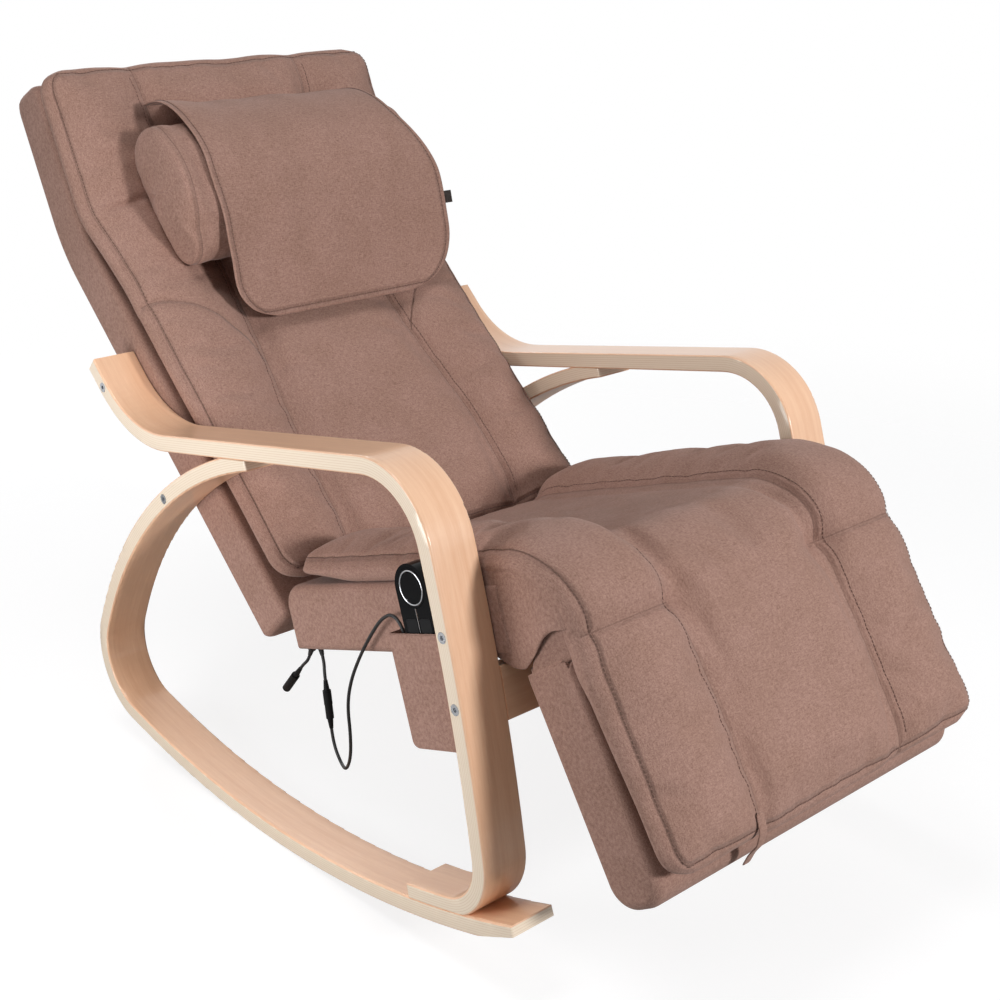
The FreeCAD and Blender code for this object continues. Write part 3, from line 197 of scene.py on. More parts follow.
# Nodes: a value that takes the usual arithmetic, a tree that makes such values, and a material

class Value:
    """An output of a node."""

    def __init__(self, nodes, socket):
        self.nodes = nodes
        self.socket = socket

    def math(self, operation, other=0.0):
        return self.nodes.add("ShaderNodeMath", {0: self, 1: other}, operation=operation)

    def __add__(self, other):
        return self.math("ADD", other)

    def __sub__(self, other):
        return self.math("SUBTRACT", other)

    def __mul__(self, other):
        return self.math("MULTIPLY", other)

    def size(self):
        return self.math("ABSOLUTE")

    def least(self, other):
        return self.math("MINIMUM", other)

    def between(self, low, high, first=0.0, last=1.0):
        """Runs smoothly from first at low to last at high."""
        return self.nodes.add("ShaderNodeMapRange", {0: self, 1: low, 2: high, 3: first, 4: last},
                              interpolation_type="SMOOTHSTEP")


class Nodes:
    """A node tree."""

    def __init__(self, tree):
        self.tree = tree

    def add(self, kind, inputs=None, output=0, **settings):
        """A new node: values are linked to its inputs and constants set on them."""
        node = self.tree.nodes.new(kind)
        for key, value in settings.items():
            setattr(node, key, value)
        for key, value in (inputs or {}).items():
            self.put(node.inputs[key], value)
        return Value(self, node.outputs[output])

    def put(self, socket, value):
        if isinstance(value, Value):
            self.tree.links.new(value.socket, socket)
        else:
            socket.default_value = value


class Paint(Nodes):
    """A material of one principled shader."""

    def __init__(self, name, **constants):
        self.material = bpy.data.materials.new(name)
        self.material.use_nodes = True
        super().__init__(self.material.node_tree)
        self.shader = self.tree.nodes["Principled BSDF"]
        for key, value in constants.items():
            self.shader.inputs[key.replace("_", " ")].default_value = value

    def set(self, name, value):
        self.put(self.shader.inputs[name], value)

    def place(self):
        return self.add("ShaderNodeTexCoord", output="Object")

    def stretched(self, place, scale):
        return self.add("ShaderNodeMapping", {"Vector": place, "Scale": scale})

    def noise(self, place, scale, detail=2.0, roughness=0.5):
        return self.add("ShaderNodeTexNoise", {"Vector": place, "Scale": scale, "Detail": detail,
                                               "Roughness": roughness})

    def attribute(self, name, output="Fac"):
        return self.add("ShaderNodeAttribute", output=output, attribute_name=name)

    def mix(self, factor, first, last, blend="MIX"):
        return self.add("ShaderNodeMix", {0: factor, 6: first, 7: last}, output=2, data_type="RGBA",
                        blend_type=blend)

    def bump(self, height, distance):
        self.set("Normal", self.add("ShaderNodeBump", {"Height": height, "Distance": distance}))


def colour(red, green, blue):
    """A colour given as it looks on a screen, from 0 to 255."""
    def linear(value):
        value /= 255.0
        return value / 12.92 if value < 0.04045 else ((value + 0.055) / 1.055) ** 2.4
    return linear(red), linear(green), linear(blue), 1.0


def cloth_paint(name, dark, light, seams):
    """Woven melange cloth; with seams it shows the lines that a padded piece carries in its attributes, as
    grooves in its bump with painted shade along them.
    """
    paint = Paint(name, Roughness=0.92, Specular_IOR_Level=0.15, Sheen_Weight=0.10, Sheen_Roughness=0.5)
    place = paint.place()
    weft = paint.noise(paint.stretched(place, (180.0, 1000.0, 1000.0)), 1.0, 2.0, 0.6)
    warp = paint.noise(paint.stretched(place, (1100.0, 240.0, 240.0)), 1.0, 2.0, 0.6)
    grain = paint.noise(place, 1500.0, 2.0, 0.7)
    patch = paint.noise(place, 16.0, 3.0, 0.6)
    tone = (weft + warp) * 0.38 + grain * 0.24
    yarn = paint.mix(tone.between(0.28, 0.72), dark, light)
    shade = paint.mix(patch.between(0.30, 0.70), (0.955, 0.945, 0.93, 1.0), (1.035, 1.035, 1.045, 1.0))
    shade = paint.mix(1.0, yarn, shade, "MULTIPLY")
    height = tone * 0.35 + patch * 0.9
    if seams:
        nearest = paint.attribute("seam_long").size().least(paint.attribute("seam_cross").size())
        nearest = nearest.least(paint.attribute("seam_edge").size())
        # The darker line along each seam is painted shade of the seam's groove
        shade = paint.mix(nearest.between(0.0003, 0.0013, 0.34, 0.0), shade, colour(70, 50, 43))
        height = height - nearest.between(0.0, 0.0055, 1.9, 0.0)
    paint.set("Base Color", shade)
    paint.bump(height, 0.0011)
    return paint.material


board_thick = 0.022
ply_pitch = 0.0029
veneer_from, veneer_full = 0.0088, 0.0094


def wood_paint(name, face_dark, face_light, ply_pale, ply_line):
    """Lacquered plywood: grain along the strip, plies through its thickness."""
    paint = Paint(name, Coat_Weight=0.45, Coat_Roughness=0.16)
    grain = paint.attribute("grain", "Vector")
    streak = paint.noise(paint.stretched(grain, (5.0, 150.0, 150.0)), 1.0, 4.0, 0.6)
    flake = paint.noise(paint.stretched(grain, (60.0, 700.0, 700.0)), 1.0, 2.0, 0.5)
    face = paint.mix((streak * 0.75 + flake * 0.25).between(0.25, 0.80), face_dark, face_light)
    through = paint.add("ShaderNodeSeparateXYZ", {0: grain}, output=1)
    depth = (through - 0.5 * board_thick).size()
    ply = (through * (1.0 / ply_pitch)).math("FRACT")
    tone = (ply - 0.5).size().between(0.36, 0.47)
    edge = paint.mix(tone * 0.55 + streak * 0.15, ply_pale, ply_line)
    paint.set("Base Color", paint.mix(depth.between(veneer_from, veneer_full), edge, face))
    paint.set("Roughness", streak.between(0.3, 0.8, 0.30, 0.40))
    paint.bump(streak * 0.5 + flake * 0.3, 0.00025)
    return paint.material


def plain_paint(name, shade, rough, **constants):
    """One colour with a fine grain in its gloss."""
    paint = Paint(name, Base_Color=shade, **constants)
    paint.set("Roughness", paint.noise(paint.place(), 260.0, 2.0).between(0.3, 0.7, rough * 0.9, rough * 1.1))
    return paint.material


cloth_dark = colour(132, 99, 87)
cloth_light = colour(185, 149, 135)
paints = {
    "brown_cloth": cloth_paint("brown_cloth", cloth_dark, cloth_light, False),
    "seamed_cloth": cloth_paint("seamed_cloth", cloth_dark, cloth_light, True),
    "birch": wood_paint("birch", colour(236, 186, 149), colour(250, 207, 172), colour(248, 231, 209),
                        colour(216, 183, 150)),
    "pine": plain_paint("pine", colour(214, 184, 144), 0.6),
    "dark_cloth": plain_paint("dark_cloth", colour(38, 30, 26), 0.9),
    "thread": plain_paint("thread", colour(106, 79, 69), 0.8),
    "zinc_steel": plain_paint("zinc_steel", colour(190, 192, 196), 0.28, Metallic=1.0),
    "bright_steel": plain_paint("bright_steel", colour(180, 182, 186), 0.25, Metallic=1.0),
    "black_metal": plain_paint("black_metal", colour(34, 34, 35), 0.5),
    "motor_metal": plain_paint("motor_metal", colour(120, 122, 126), 0.4, Metallic=0.8),
    "black_plastic": plain_paint("black_plastic", colour(20, 20, 21), 0.45, Specular_IOR_Level=0.15),
    "grey_plastic": plain_paint("grey_plastic", colour(140, 140, 144), 0.5),
    "key_plastic": plain_paint("key_plastic", colour(26, 26, 28), 0.32, Specular_IOR_Level=0.12),
    "black_gloss": plain_paint("black_gloss", colour(9, 9, 11), 0.14, Specular_IOR_Level=0.10),
    "chrome": plain_paint("chrome", colour(196, 198, 202), 0.16, Metallic=1.0),
    "black_rubber": plain_paint("black_rubber", colour(22, 22, 23), 0.5),
    "dark_rubber": plain_paint("dark_rubber", colour(52, 46, 46), 0.7),
    "board": plain_paint("board", colour(30, 96, 56), 0.5),
}
node_slot = {row["node"]: row["material_slot"] for row in frame["record"]["subparts"]}
for name, node in nodes.items():
    node.data.materials.clear()
    node.data.materials.append(paints[node_slot[name]])


# Pieces

def new_piece(name, points, faces, paint):
    mesh = bpy.data.meshes.new(name)
    mesh.from_pydata([tuple(point) for point in points], [], [tuple(face) for face in faces])
    mesh.validate()
    mesh.materials.append(paints[paint])
    return placed(name, mesh)


def coordinates(piece):
    values = np.empty(len(piece.data.vertices) * 3, np.float32)
    piece.data.vertices.foreach_get("co", values)
    return values.reshape(-1, 3).astype(float)


def set_coordinates(piece, points):
    piece.data.vertices.foreach_set("co", np.asarray(points, np.float32).ravel())
    piece.data.update()


def set_attribute(piece, name, values):
    kind = "FLOAT" if np.ndim(values) == 1 else "FLOAT_VECTOR"
    layer = piece.data.attributes.new(name, kind, "POINT")
    layer.data.foreach_set("value" if kind == "FLOAT" else "vector", np.asarray(values, np.float32).ravel())


def set_seams(piece, edge, long=1.0, cross=1.0):
    """Distances to the lines that the seamed cloth shows: its stitched edge, channels and cross seams."""
    for name, values in (("seam_long", long), ("seam_cross", cross), ("seam_edge", edge)):
        set_attribute(piece, name, np.broadcast_to(values, len(piece.data.vertices)))


def grid_faces(grid):
    """Squares between the points of a grid."""
    return np.stack((grid[:-1, :-1], grid[:-1, 1:], grid[1:, 1:], grid[1:, :-1]), -1).reshape(-1, 4)


def band_faces(near, far):
    """Squares between the points of two closed loops."""
    return np.stack((near, np.roll(near, -1), np.roll(far, -1), far), 1)


def evaluated_mesh(piece):
    """A plain mesh of what a piece looks like now."""
    graph = bpy.context.evaluated_depsgraph_get()
    return bpy.data.meshes.new_from_object(piece.evaluated_get(graph), depsgraph=graph)


def smooth(piece, angle):
    piece.data.shade_smooth()
    piece.data.set_sharp_from_angle(angle=math.radians(angle))


def dress(piece, slot, *replaced, body=None):
    """The body that a piece rides on, if it is one alone, and the solids that it stands for; its slot is not
    used.
    """
    if body:
        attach(piece, body)
    if replaced:
        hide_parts(*replaced)


join_distance = 2e-6
split_passes = 4


def solid_copy(node, angle=35.0, bevel=0.0, longest=0.0):
    """A solid's mesh with its points joined, its sharp edges rounded and its long edges split where asked."""
    source = nodes[node].data
    mesh = bpy.data.meshes.new(node + "_look")
    mesh.from_pydata([vertex.co[:] for vertex in source.vertices], [],
                     [face.vertices[:] for face in source.polygons])
    work = bmesh.new()
    work.from_mesh(mesh)
    bmesh.ops.remove_doubles(work, verts=work.verts, dist=join_distance)
    if bevel:
        bmesh.ops.dissolve_limit(work, angle_limit=math.radians(1.0), verts=work.verts, edges=work.edges)
        sharp = [edge for edge in work.edges
                 if len(edge.link_faces) == 2 and edge.calc_face_angle(0.0) > math.radians(angle)]
        bmesh.ops.bevel(work, geom=sharp, offset=bevel, segments=3, affect="EDGES", clamp_overlap=True)
    if longest:
        bmesh.ops.triangulate(work, faces=work.faces)
        for _ in range(split_passes):
            long_edges = [edge for edge in work.edges if edge.calc_length() > longest]
            bmesh.ops.subdivide_edges(work, edges=long_edges, cuts=1)
            bmesh.ops.triangulate(work, faces=work.faces)
    work.to_mesh(mesh)
    work.free()
    piece = placed(node + "_look", mesh)
    smooth(piece, angle)
    mesh.materials.append(paints[node_slot[node]])
    dress(piece, node_slot[node], node, body=nodes[node]["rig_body"])
    return piece


# Leads: control points of each line, in the seat's plane
lead_radius = 0.0021


def lead_curve(name, points):
    data = bpy.data.curves.new(name, "CURVE")
    data.dimensions = "3D"
    data.bevel_depth = lead_radius
    data.bevel_resolution = 4
    data.use_fill_caps = True
    spline = data.splines.new("NURBS")
    spline.points.add(len(points) - 1)
    for place, point in zip(spline.points, points):
        place.co = (*point, 1.0)
    spline.order_u = 3
    spline.use_endpoint_u = True
    spline.resolution_u = 12
    data.materials.append(paints["black_rubber"])
    return placed(name, data)


def heading_axis(heading):
    return Vector((0.0, *ahead(math.radians(heading))))


grommet_along = 0.418
grommet_length = 0.014
lead_stub = 0.010
cord_stub = 0.022
relief_stub = 0.014
plug_length = 0.066
seat_down = Vector((0.0, -seat.up[0], -seat.up[1]))
plug_axis = heading_axis(-97.8)
socket_axis = heading_axis(-50.3)
power_axis = heading_axis(-90.0 + seat_angle + 43.0)
power_exit = seat.point(-0.250, grommet_along, 0.0) + power_axis * grommet_length
control_exit = seat.point(-0.238, grommet_along, -grommet_length)
plug_x, pocket_x = -0.241, -0.2805
plug_start = seat.point(plug_x, grommet_along + 0.0018, -0.0465)
socket_start = seat.point(-0.253, grommet_along + 0.0346, -0.0281)
plug_end = plug_start + plug_axis * plug_length
control_centre = 0.122
loop_reach = 0.2978
relief_off = -0.072
relief_end = seat.point(pocket_x, control_centre, relief_off)
power_points = [power_exit, power_exit + power_axis * lead_stub,
                socket_start - socket_axis * lead_stub, socket_start]
control_points = [control_exit, control_exit + seat_down * lead_stub,
                  plug_start - plug_axis * lead_stub, plug_start]
outer_bends = [
    (0.10, 1.010, -0.157), (0.42, 0.913, -0.160), (0.67, 0.802, -0.137), (0.80, 0.735, -0.104),
    (0.87, 0.692, -0.064), (0.89, 0.618, -0.031), (0.92, 0.500, 0.002), (0.97, 0.376, 0.030),
    (0.99, 0.282, 0.048), (1.00, 0.201, 0.054),
]
pocket_bends = [
    (0.0460, 0.0370), (0.0465, 0.0060), (0.0420, -0.0260), (0.0440, -0.0570),
    (0.0395, -0.0837), (0.0263, -0.0960), (0.0123, -0.0963),
]
remote_points = [plug_end, plug_end + plug_axis * cord_stub]
for across, behind, off in outer_bends:
    x = plug_x + (pocket_x - plug_x) * across
    remote_points.append(seat.point(x, control_centre + loop_reach * behind, off))
for behind, off in pocket_bends:
    remote_points.append(seat.point(pocket_x, control_centre + behind, off))
remote_points += [relief_end + seat_down * relief_stub, relief_end]

power_lead = lead_curve("power_lead_look", power_points)
control_lead = lead_curve("control_lead_look", control_points)
dress(power_lead, "black_rubber", "power_lead", body="frame")
dress(control_lead, "black_rubber", "control_lead", body="frame")

# The hand control's cord is a tube
cord_curve = lead_curve("cord_line", remote_points)
remote_cord = placed("remote_cord_look", evaluated_mesh(cord_curve))
cord_curve.data.bevel_depth = 0.0
cord_line = [vertex.co[:] for vertex in evaluated_mesh(cord_curve).vertices]
bpy.data.objects.remove(cord_curve)
remote_cord.data.shade_smooth()
dress(remote_cord, "black_rubber", "remote_cord")
seat.point(pocket_x, control_centre + 0.044, relief_off)
seat.point(pocket_x, control_centre + 0.004, relief_off)
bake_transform(remote_cord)

# Sewn pads

def round_in(distance, radius):
    """How far an outline with rounded corners draws in, at a distance from its end."""
    rest = np.clip(radius - distance, 0.0, radius)
    return radius - np.sqrt(radius ** 2 - rest ** 2)


def bump_at(distance, reach):
    """1 at no distance, falling smoothly to nothing."""
    return np.exp(-(distance / reach) ** 2)


def ease(value, low, high):
    """Runs smoothly from 0 at low to 1 at high."""
    share = np.clip((value - low) / (high - low), 0.0, 1.0)
    return share * share * (3.0 - 2.0 * share)


def ripple(places, size, seed):
    """Smooth uneven values, about -1 to 1, at places given in metres; size is the usual width of a wave."""
    offset = Vector((seed * 7.31, seed * 3.17, seed * 1.73))
    flat = np.asarray(places, float).reshape(-1, 3)
    values = [noise.noise(Vector(place) / size + offset) for place in flat]
    return np.array(values).reshape(np.shape(places)[:-1])


class Pad:
    """A pad on a curved bed, as one closed mesh: a top sheet, a band round its edge and a bottom sheet.
    The bed gives a point and an up direction in the side view at each distance along the pad."""

    inner_columns = 15
    outer_columns = 16
    band_levels = (0.78, 0.52, 0.26)
    band_height = 0.045
    edge_seam = 0.0078
    least_bolster = 0.030
    at_seam = 1e-6

    def __init__(self, bed, length, rows, half_width, channel, corner):
        self.length = length
        self.along = np.linspace(0.0, length, rows)
        poses = [bed(distance) for distance in self.along]
        self.base = np.array([pose[0] for pose in poses])
        self.up = np.array([pose[1] for pose in poses])
        self.forward = np.stack((self.up[:, 1], -self.up[:, 0]), 1)
        if np.dot(self.forward[0], self.base[1] - self.base[0]) < 0:
            self.forward = -self.forward
        end = np.minimum(self.along, length - self.along)
        width = half_width(self.along) - round_in(end, corner)
        seam = np.minimum(channel(self.along), width - self.least_bolster)[:, None]
        inner = np.linspace(0.0, 1.0, self.inner_columns + 1)
        outer = np.linspace(0.0, 1.0, self.outer_columns + 1)[1:]
        half = np.concatenate((seam * inner, seam + (width[:, None] - seam) * outer), 1)
        self.x = np.concatenate((-half[:, :0:-1], half), 1)
        self.s = np.repeat(self.along[:, None], self.x.shape[1], 1)
        self.channel = np.abs(self.x) - seam
        self.edge = np.minimum(width[:, None] - np.abs(self.x), end[:, None])
        self.rows, self.columns = self.x.shape
        self.grid = np.arange(self.rows * self.columns).reshape(self.rows, self.columns)
        self.row_of = np.repeat(np.arange(rows)[:, None], self.columns, 1)

    def ring(self, inset):
        """Grid rows and columns of a loop round the top sheet, some lines inside its outline."""
        low, last_row, last_column = inset, self.rows - 1 - inset, self.columns - 1 - inset
        places = [(row, low) for row in range(low, last_row)]
        places += [(last_row, column) for column in range(low, last_column)]
        places += [(row, last_column) for row in range(last_row, low, -1)]
        places += [(low, column) for column in range(last_column, low, -1)]
        return np.array(places).T

    def on_channel(self):
        return np.abs(self.channel) < self.at_seam

    def crown(self, reach):
        """A rounded rise from 0 at the edge to 1 at some reach inside it."""
        return np.sqrt(1.0 - (1.0 - np.clip(self.edge / reach, 0.0, 1.0)) ** 2)

    def unevenness(self, seed):
        places = np.stack((self.x, self.s, np.full_like(self.s, 0.1 * seed)), -1)
        return 0.0018 * ripple(places, 0.050, seed) + 0.0010 * ripple(places, 0.019, seed + 1)

    def place(self, rows, x, shift, height):
        """Points over the bed; shift moves them along it."""
        side = self.base[rows] + self.up[rows] * height[..., None] + self.forward[rows] * shift[..., None]
        return np.concatenate((x[..., None], side), -1)

    def build(self, name, height, floor, draw, bulge, shift):
        """height and floor are the two sheets over the bed, draw how far the bottom is drawn in,
        bulge how far the band stands out, and shift how far points move along the bed."""
        top = self.place(self.row_of, self.x, shift, height)
        shrink = 1.0 - draw / np.max(np.abs(self.x))
        drawn = shift + (0.5 - self.s / self.length) * 2.0 * draw
        bottom = self.place(self.row_of, self.x * shrink, drawn, floor)
        ring = tuple(self.ring(0))
        flat = np.stack((self.x[ring], self.s[ring]), 1)
        run = np.roll(flat, -1, 0) - np.roll(flat, 1, 0)
        out = np.stack((-run[:, 1], run[:, 0]), 1) / np.linalg.norm(run, axis=1)[:, None]
        if np.dot(out[self.rows // 2], flat[self.rows // 2] - flat.mean(0)) < 0:
            out = -out
        bands = []
        for level in self.band_levels:
            away = bulge * math.sin(math.pi * level) - draw * (1.0 - level) ** 2
            rise = floor[ring] + (height[ring] - floor[ring]) * level
            x, along = flat[:, 0] + out[:, 0] * away, shift[ring] + out[:, 1] * away
            bands.append(self.place(ring[0], x, along, rise))
        points = np.concatenate([top.reshape(-1, 3), bottom.reshape(-1, 3)] + bands)
        sheet = self.grid.size
        count = len(flat)
        self.loops = [self.grid[ring]]
        self.loops += [np.arange(count) + 2 * sheet + level * count for level in range(len(bands))]
        self.loops.append(self.grid[ring] + sheet)
        squares = grid_faces(self.grid)
        faces = [squares, squares[:, ::-1] + sheet]
        faces += [band_faces(upper, lower) for upper, lower in zip(self.loops, self.loops[1:])]
        piece = new_piece(name, points, np.concatenate(faces).tolist(), "seamed_cloth")
        outward(piece)
        return piece

    def spread(self, top_values, band_start, far):
        """The top sheet's own values, the band's counting down from band_start, and far for the rest."""
        values = np.full(2 * self.grid.size + len(self.band_levels) * len(self.loops[0]), far, float)
        values[:self.grid.size] = top_values.ravel()
        if band_start is not None:
            for level, loop in zip(self.band_levels, self.loops[1:]):
                values[loop] = band_start - self.band_height * (1.0 - level)
            values[self.loops[-1]] = band_start - self.band_height
        return values

    def held(self, sewn):
        """Points that stay while the pad swells: the sewn ones, the outline and the bottom sheet."""
        keep = self.spread(sewn | (self.edge < self.at_seam), None, 1.0) > 0.5
        keep[self.loops[1][0]:self.loops[2][0]] = False
        return keep

    def seams(self, piece, cross):
        """The pad's channels, cross seams and stitched edge, for the cloth to show."""
        edge = self.spread(self.edge - self.edge_seam, -self.edge_seam, -1.0)
        set_seams(piece, edge, self.spread(self.channel, None, 1.0), self.spread(cross, None, 1.0))


def outward(piece):
    work = bmesh.new()
    work.from_mesh(piece.data)
    bmesh.ops.recalc_face_normals(work, faces=work.faces)
    work.to_mesh(piece.data)
    work.free()


swell_frames = 20


def swell(piece, held, pressure, slack, cap):
    """Fills a piece with air for a moment: held points stay, the others move no further than cap."""
    before = coordinates(piece)
    group = piece.vertex_groups.new(name="held")
    group.add([int(index) for index in np.flatnonzero(held)], 1.0, "REPLACE")
    cloth = piece.modifiers.new("swell", "CLOTH")
    settings = cloth.settings
    settings.quality = 5
    settings.mass = 0.25
    settings.tension_stiffness = 12.0
    settings.compression_stiffness = 8.0
    settings.shear_stiffness = 4.0
    settings.bending_stiffness = 0.25
    settings.use_pressure = True
    settings.uniform_pressure_force = pressure
    settings.shrink_min = -slack
    settings.shrink_max = -slack
    settings.vertex_group_mass = "held"
    settings.effector_weights.gravity = 0.0
    cloth.collision_settings.use_collision = False
    cloth.collision_settings.use_self_collision = False
    for number in range(1, swell_frames + 1):
        scene.frame_set(number)
    shown = piece.evaluated_get(bpy.context.evaluated_depsgraph_get())
    after = np.empty(len(before) * 3, np.float32)
    shown.data.vertices.foreach_get("co", after)
    move = after.reshape(-1, 3) - before
    far = np.linalg.norm(move, axis=1)
    move *= (np.minimum(far, cap) / np.maximum(far, 1e-9))[:, None]
    piece.modifiers.remove(cloth)
    piece.vertex_groups.remove(group)
    scene.frame_set(1)
    set_coordinates(piece, before + move)


def thicken(piece, thickness):
    layer = piece.modifiers.new("thicken", "SOLIDIFY")
    layer.thickness = thickness
    layer.offset = 0.0


def round_off(piece):
    piece.data.shade_smooth()
    rounder = piece.modifiers.new("rounder", "SUBSURF")
    rounder.levels = 1
    rounder.render_levels = 1


pad_pressure = 3.5
pad_slack = 0.026
pad_edge_reach = 0.060
pad_bulge = 0.004

# Back pad: two side bolsters beside a centre, closed off above by slanting seams
back_pad_start = 0.036
back_pad_end = 0.8617
back_pad_bed = 0.0754
back_pad_thick = 0.050
slant_inner, slant_outer = 0.124, 0.262
slant_low, slant_rise = 0.330, 0.132


def back_bed(distance):
    point, heading = back_path.pose(back_pad_start + distance)
    up = left_of(heading)
    return point + up * back_pad_bed, up


def back_width(distance):
    return 0.263 + 0.011 * ease(distance, 0.45, 0.62)


def back_channel(distance):
    return 0.146 - 0.028 * ease(distance, 0.10, 0.42) + 0.020 * ease(distance, 0.60, 0.80)


back_rows, back_corner = 108, 0.034
back_pad = Pad(back_bed, back_pad_end - back_pad_start, back_rows, back_width, back_channel, back_corner)
slant = np.clip((np.abs(back_pad.x) - slant_inner) / (slant_outer - slant_inner), 0.0, 1.0)
slant_line = slant_low + slant_rise * np.sin(slant * math.pi / 2.0) ** 0.7
slant_seam = np.where(np.abs(back_pad.x) < slant_inner, 1.0, back_pad.s + back_pad_start - slant_line)
height = back_pad_thick * (0.66 + 0.34 * back_pad.crown(pad_edge_reach)) + back_pad.unevenness(1)
channel_dip = 0.015 * bump_at(back_pad.channel, 0.016) * (1.0 - 0.5 * ease(back_pad.s, 0.38, 0.50))
centre_drop = 0.013 * (1.0 - ease(back_pad.channel, -0.020, 0.004)) * (1.0 - ease(back_pad.s, 0.40, 0.52))
low_pinch = 0.008 * bump_at(np.hypot(back_pad.channel, back_pad.s - 0.012), 0.030)
slant_dip = 0.004 * bump_at(slant_seam, 0.007)
height = height - channel_dip - centre_drop - low_pinch - slant_dip
end_wave = ripple(np.stack((back_pad.x, 0.0 * back_pad.x, 0.0 * back_pad.x), -1), 0.055, 9)
end_shift = 0.003 * end_wave * ease(back_pad.s, back_pad.length - 0.06, back_pad.length)
under_lift = 0.009 * ease(np.abs(back_pad.x), 0.19, 0.25)
back_draw = 0.008
back_swell = 0.011
back_cushion = back_pad.build("back_pad", height, under_lift, back_draw, pad_bulge, end_shift)
back_pad.seams(back_cushion, slant_seam)
swell(back_cushion, back_pad.held(back_pad.on_channel()), pad_pressure, pad_slack, back_swell)
round_off(back_cushion)
dress(back_cushion, "brown_cloth", "back_mat", body="frame")

# Seat pad: one piece over the seat, round the knee hinge and down the footrest
seat_pad_bed = 0.0854
foot_pad_bed = 0.0804
seat_pad_rear = 0.394
knee_start = -0.0196
knee_end = 0.2906
foot_pad_low = 0.027
knee_headings = (71.4, 147.0)
knee_radii = (0.0794, 0.0564)
knee_turn = math.radians(knee_headings[1] - knee_headings[0])
knee_length = 0.5 * sum(knee_radii) * knee_turn
seat_run = seat_pad_rear - knee_start
foot_start = seat_run + knee_length
seat_length = foot_start + knee_end - foot_pad_low


def seat_bed(distance):
    if distance < seat_run:
        return seat.at(seat_pad_rear - distance, seat_pad_bed), seat.up
    if distance < foot_start:
        share = (distance - seat_run) / knee_length
        heading = math.radians(knee_headings[0]) + knee_turn * share
        up = ahead(heading)
        return hinge + up * (knee_radii[0] + (knee_radii[1] - knee_radii[0]) * share), up
    return foot.at(knee_end - (distance - foot_start), foot_pad_bed), foot.up


def seat_width(distance):
    return 0.263 + 0.005 * ease(distance, foot_start + 0.01, foot_start + 0.05)


def seat_channel(distance):
    return 0.136 - 0.010 * ease(distance, 0.40, 0.60)


cross_place = foot_start + 0.004
seat_rows, seat_corner = 104, 0.030
seat_pad = Pad(seat_bed, seat_length, seat_rows, seat_width, seat_channel, seat_corner)
cross_seam = np.where(seat_pad.channel < -0.012, 1.0, seat_pad.s - cross_place)
on_foot = ease(seat_pad.s, seat_run, foot_start)
thick = 0.043 + 0.010 * on_foot
edge_share = 0.52 + 0.14 * on_foot
hollow = 0.031 - 0.018 * ease(seat_pad.s, 0.40, 0.58)
height = thick * (edge_share + (1.0 - edge_share) * seat_pad.crown(pad_edge_reach)) + seat_pad.unevenness(3)
channel_dip = (0.020 - 0.008 * on_foot) * bump_at(seat_pad.channel, 0.017)
centre_drop = hollow * (1.0 - ease(seat_pad.channel, -0.016, 0.006))
cross_dip = 0.005 * bump_at(cross_seam, 0.008)
knee_pinch = 0.010 * bump_at(np.hypot(seat_pad.channel, seat_pad.s - cross_place), 0.018)
fold = ease(seat_pad.s, 0.30, 0.38) * (1.0 - ease(seat_pad.s, foot_start + 0.06, foot_start + 0.20))
near_fold = 0.007 * fold * bump_at(seat_pad.channel + 0.028, 0.010) * (seat_pad.x < 0.0)
least_height = 0.010
height = np.maximum(height - channel_dip - centre_drop - cross_dip - knee_pinch - near_fold, least_height)
under_lift = 0.010 * (1.0 - ease(seat_pad.s, 0.02, 0.12))
slot = 0.008 + 0.013 * ease(seat_pad.s, foot_start + 0.05, seat_length)
slot = slot * ease(np.abs(seat_pad.x), 0.15, 0.24)
under_lift += slot * ease(seat_pad.s, foot_start + 0.02, foot_start + 0.08)
under_lift = np.minimum(under_lift, 0.5 * height)
low_end = ease(seat_pad.s, seat_length - 0.09, seat_length)
end_shift = 0.005 * low_end * (1.0 - ease(np.abs(seat_pad.x), 0.10, 0.16))
seat_draw = 0.006
seat_swell, hollow_swell, band_swell = 0.010, 0.004, 0.006
cross_sewn = 0.004
seat_cushion = seat_pad.build("seat_pad", height, under_lift, seat_draw, pad_bulge, end_shift)
seat_pad.seams(seat_cushion, cross_seam)
sewn = seat_pad.on_channel() | (np.abs(cross_seam) < cross_sewn)
sunk = (1.0 - ease(seat_pad.channel, -0.020, 0.0)) * (1.0 - ease(seat_pad.s, 0.40, 0.58))
swell_limit = seat_swell - (seat_swell - hollow_swell) * sunk
swell(seat_cushion, seat_pad.held(sewn), pad_pressure, pad_slack,
      seat_pad.spread(swell_limit, None, band_swell))
round_off(seat_cushion)
dress(seat_cushion, "brown_cloth", "seat_mat", "knee_mat", "foot_mat")
blend_start = seat.point(0.0, 0.010, 0.090)
blend_end = foot.point(0.0, 0.270, 0.085)
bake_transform(seat_cushion)

# Bent plywood strips and the rail, with the grain along each board
arm_path = Path((0.36409, 0.56569), 224.1).straight(0.0347).arc(0.1579, -54.8).straight(0.417)
arm_path = arm_path.arc(0.1068, 83.0).arc(2.422, 8.4057).arc(0.0804, 83.5659).arc(1.393, 3.1671)
rocker_path = Path((-0.46361, 0.08588), -20.1).arc(1.41, 33.5).arc(0.096, 100.8).arc(0.641, 48.8)
grain_step = 0.002
board_mesh = 0.014


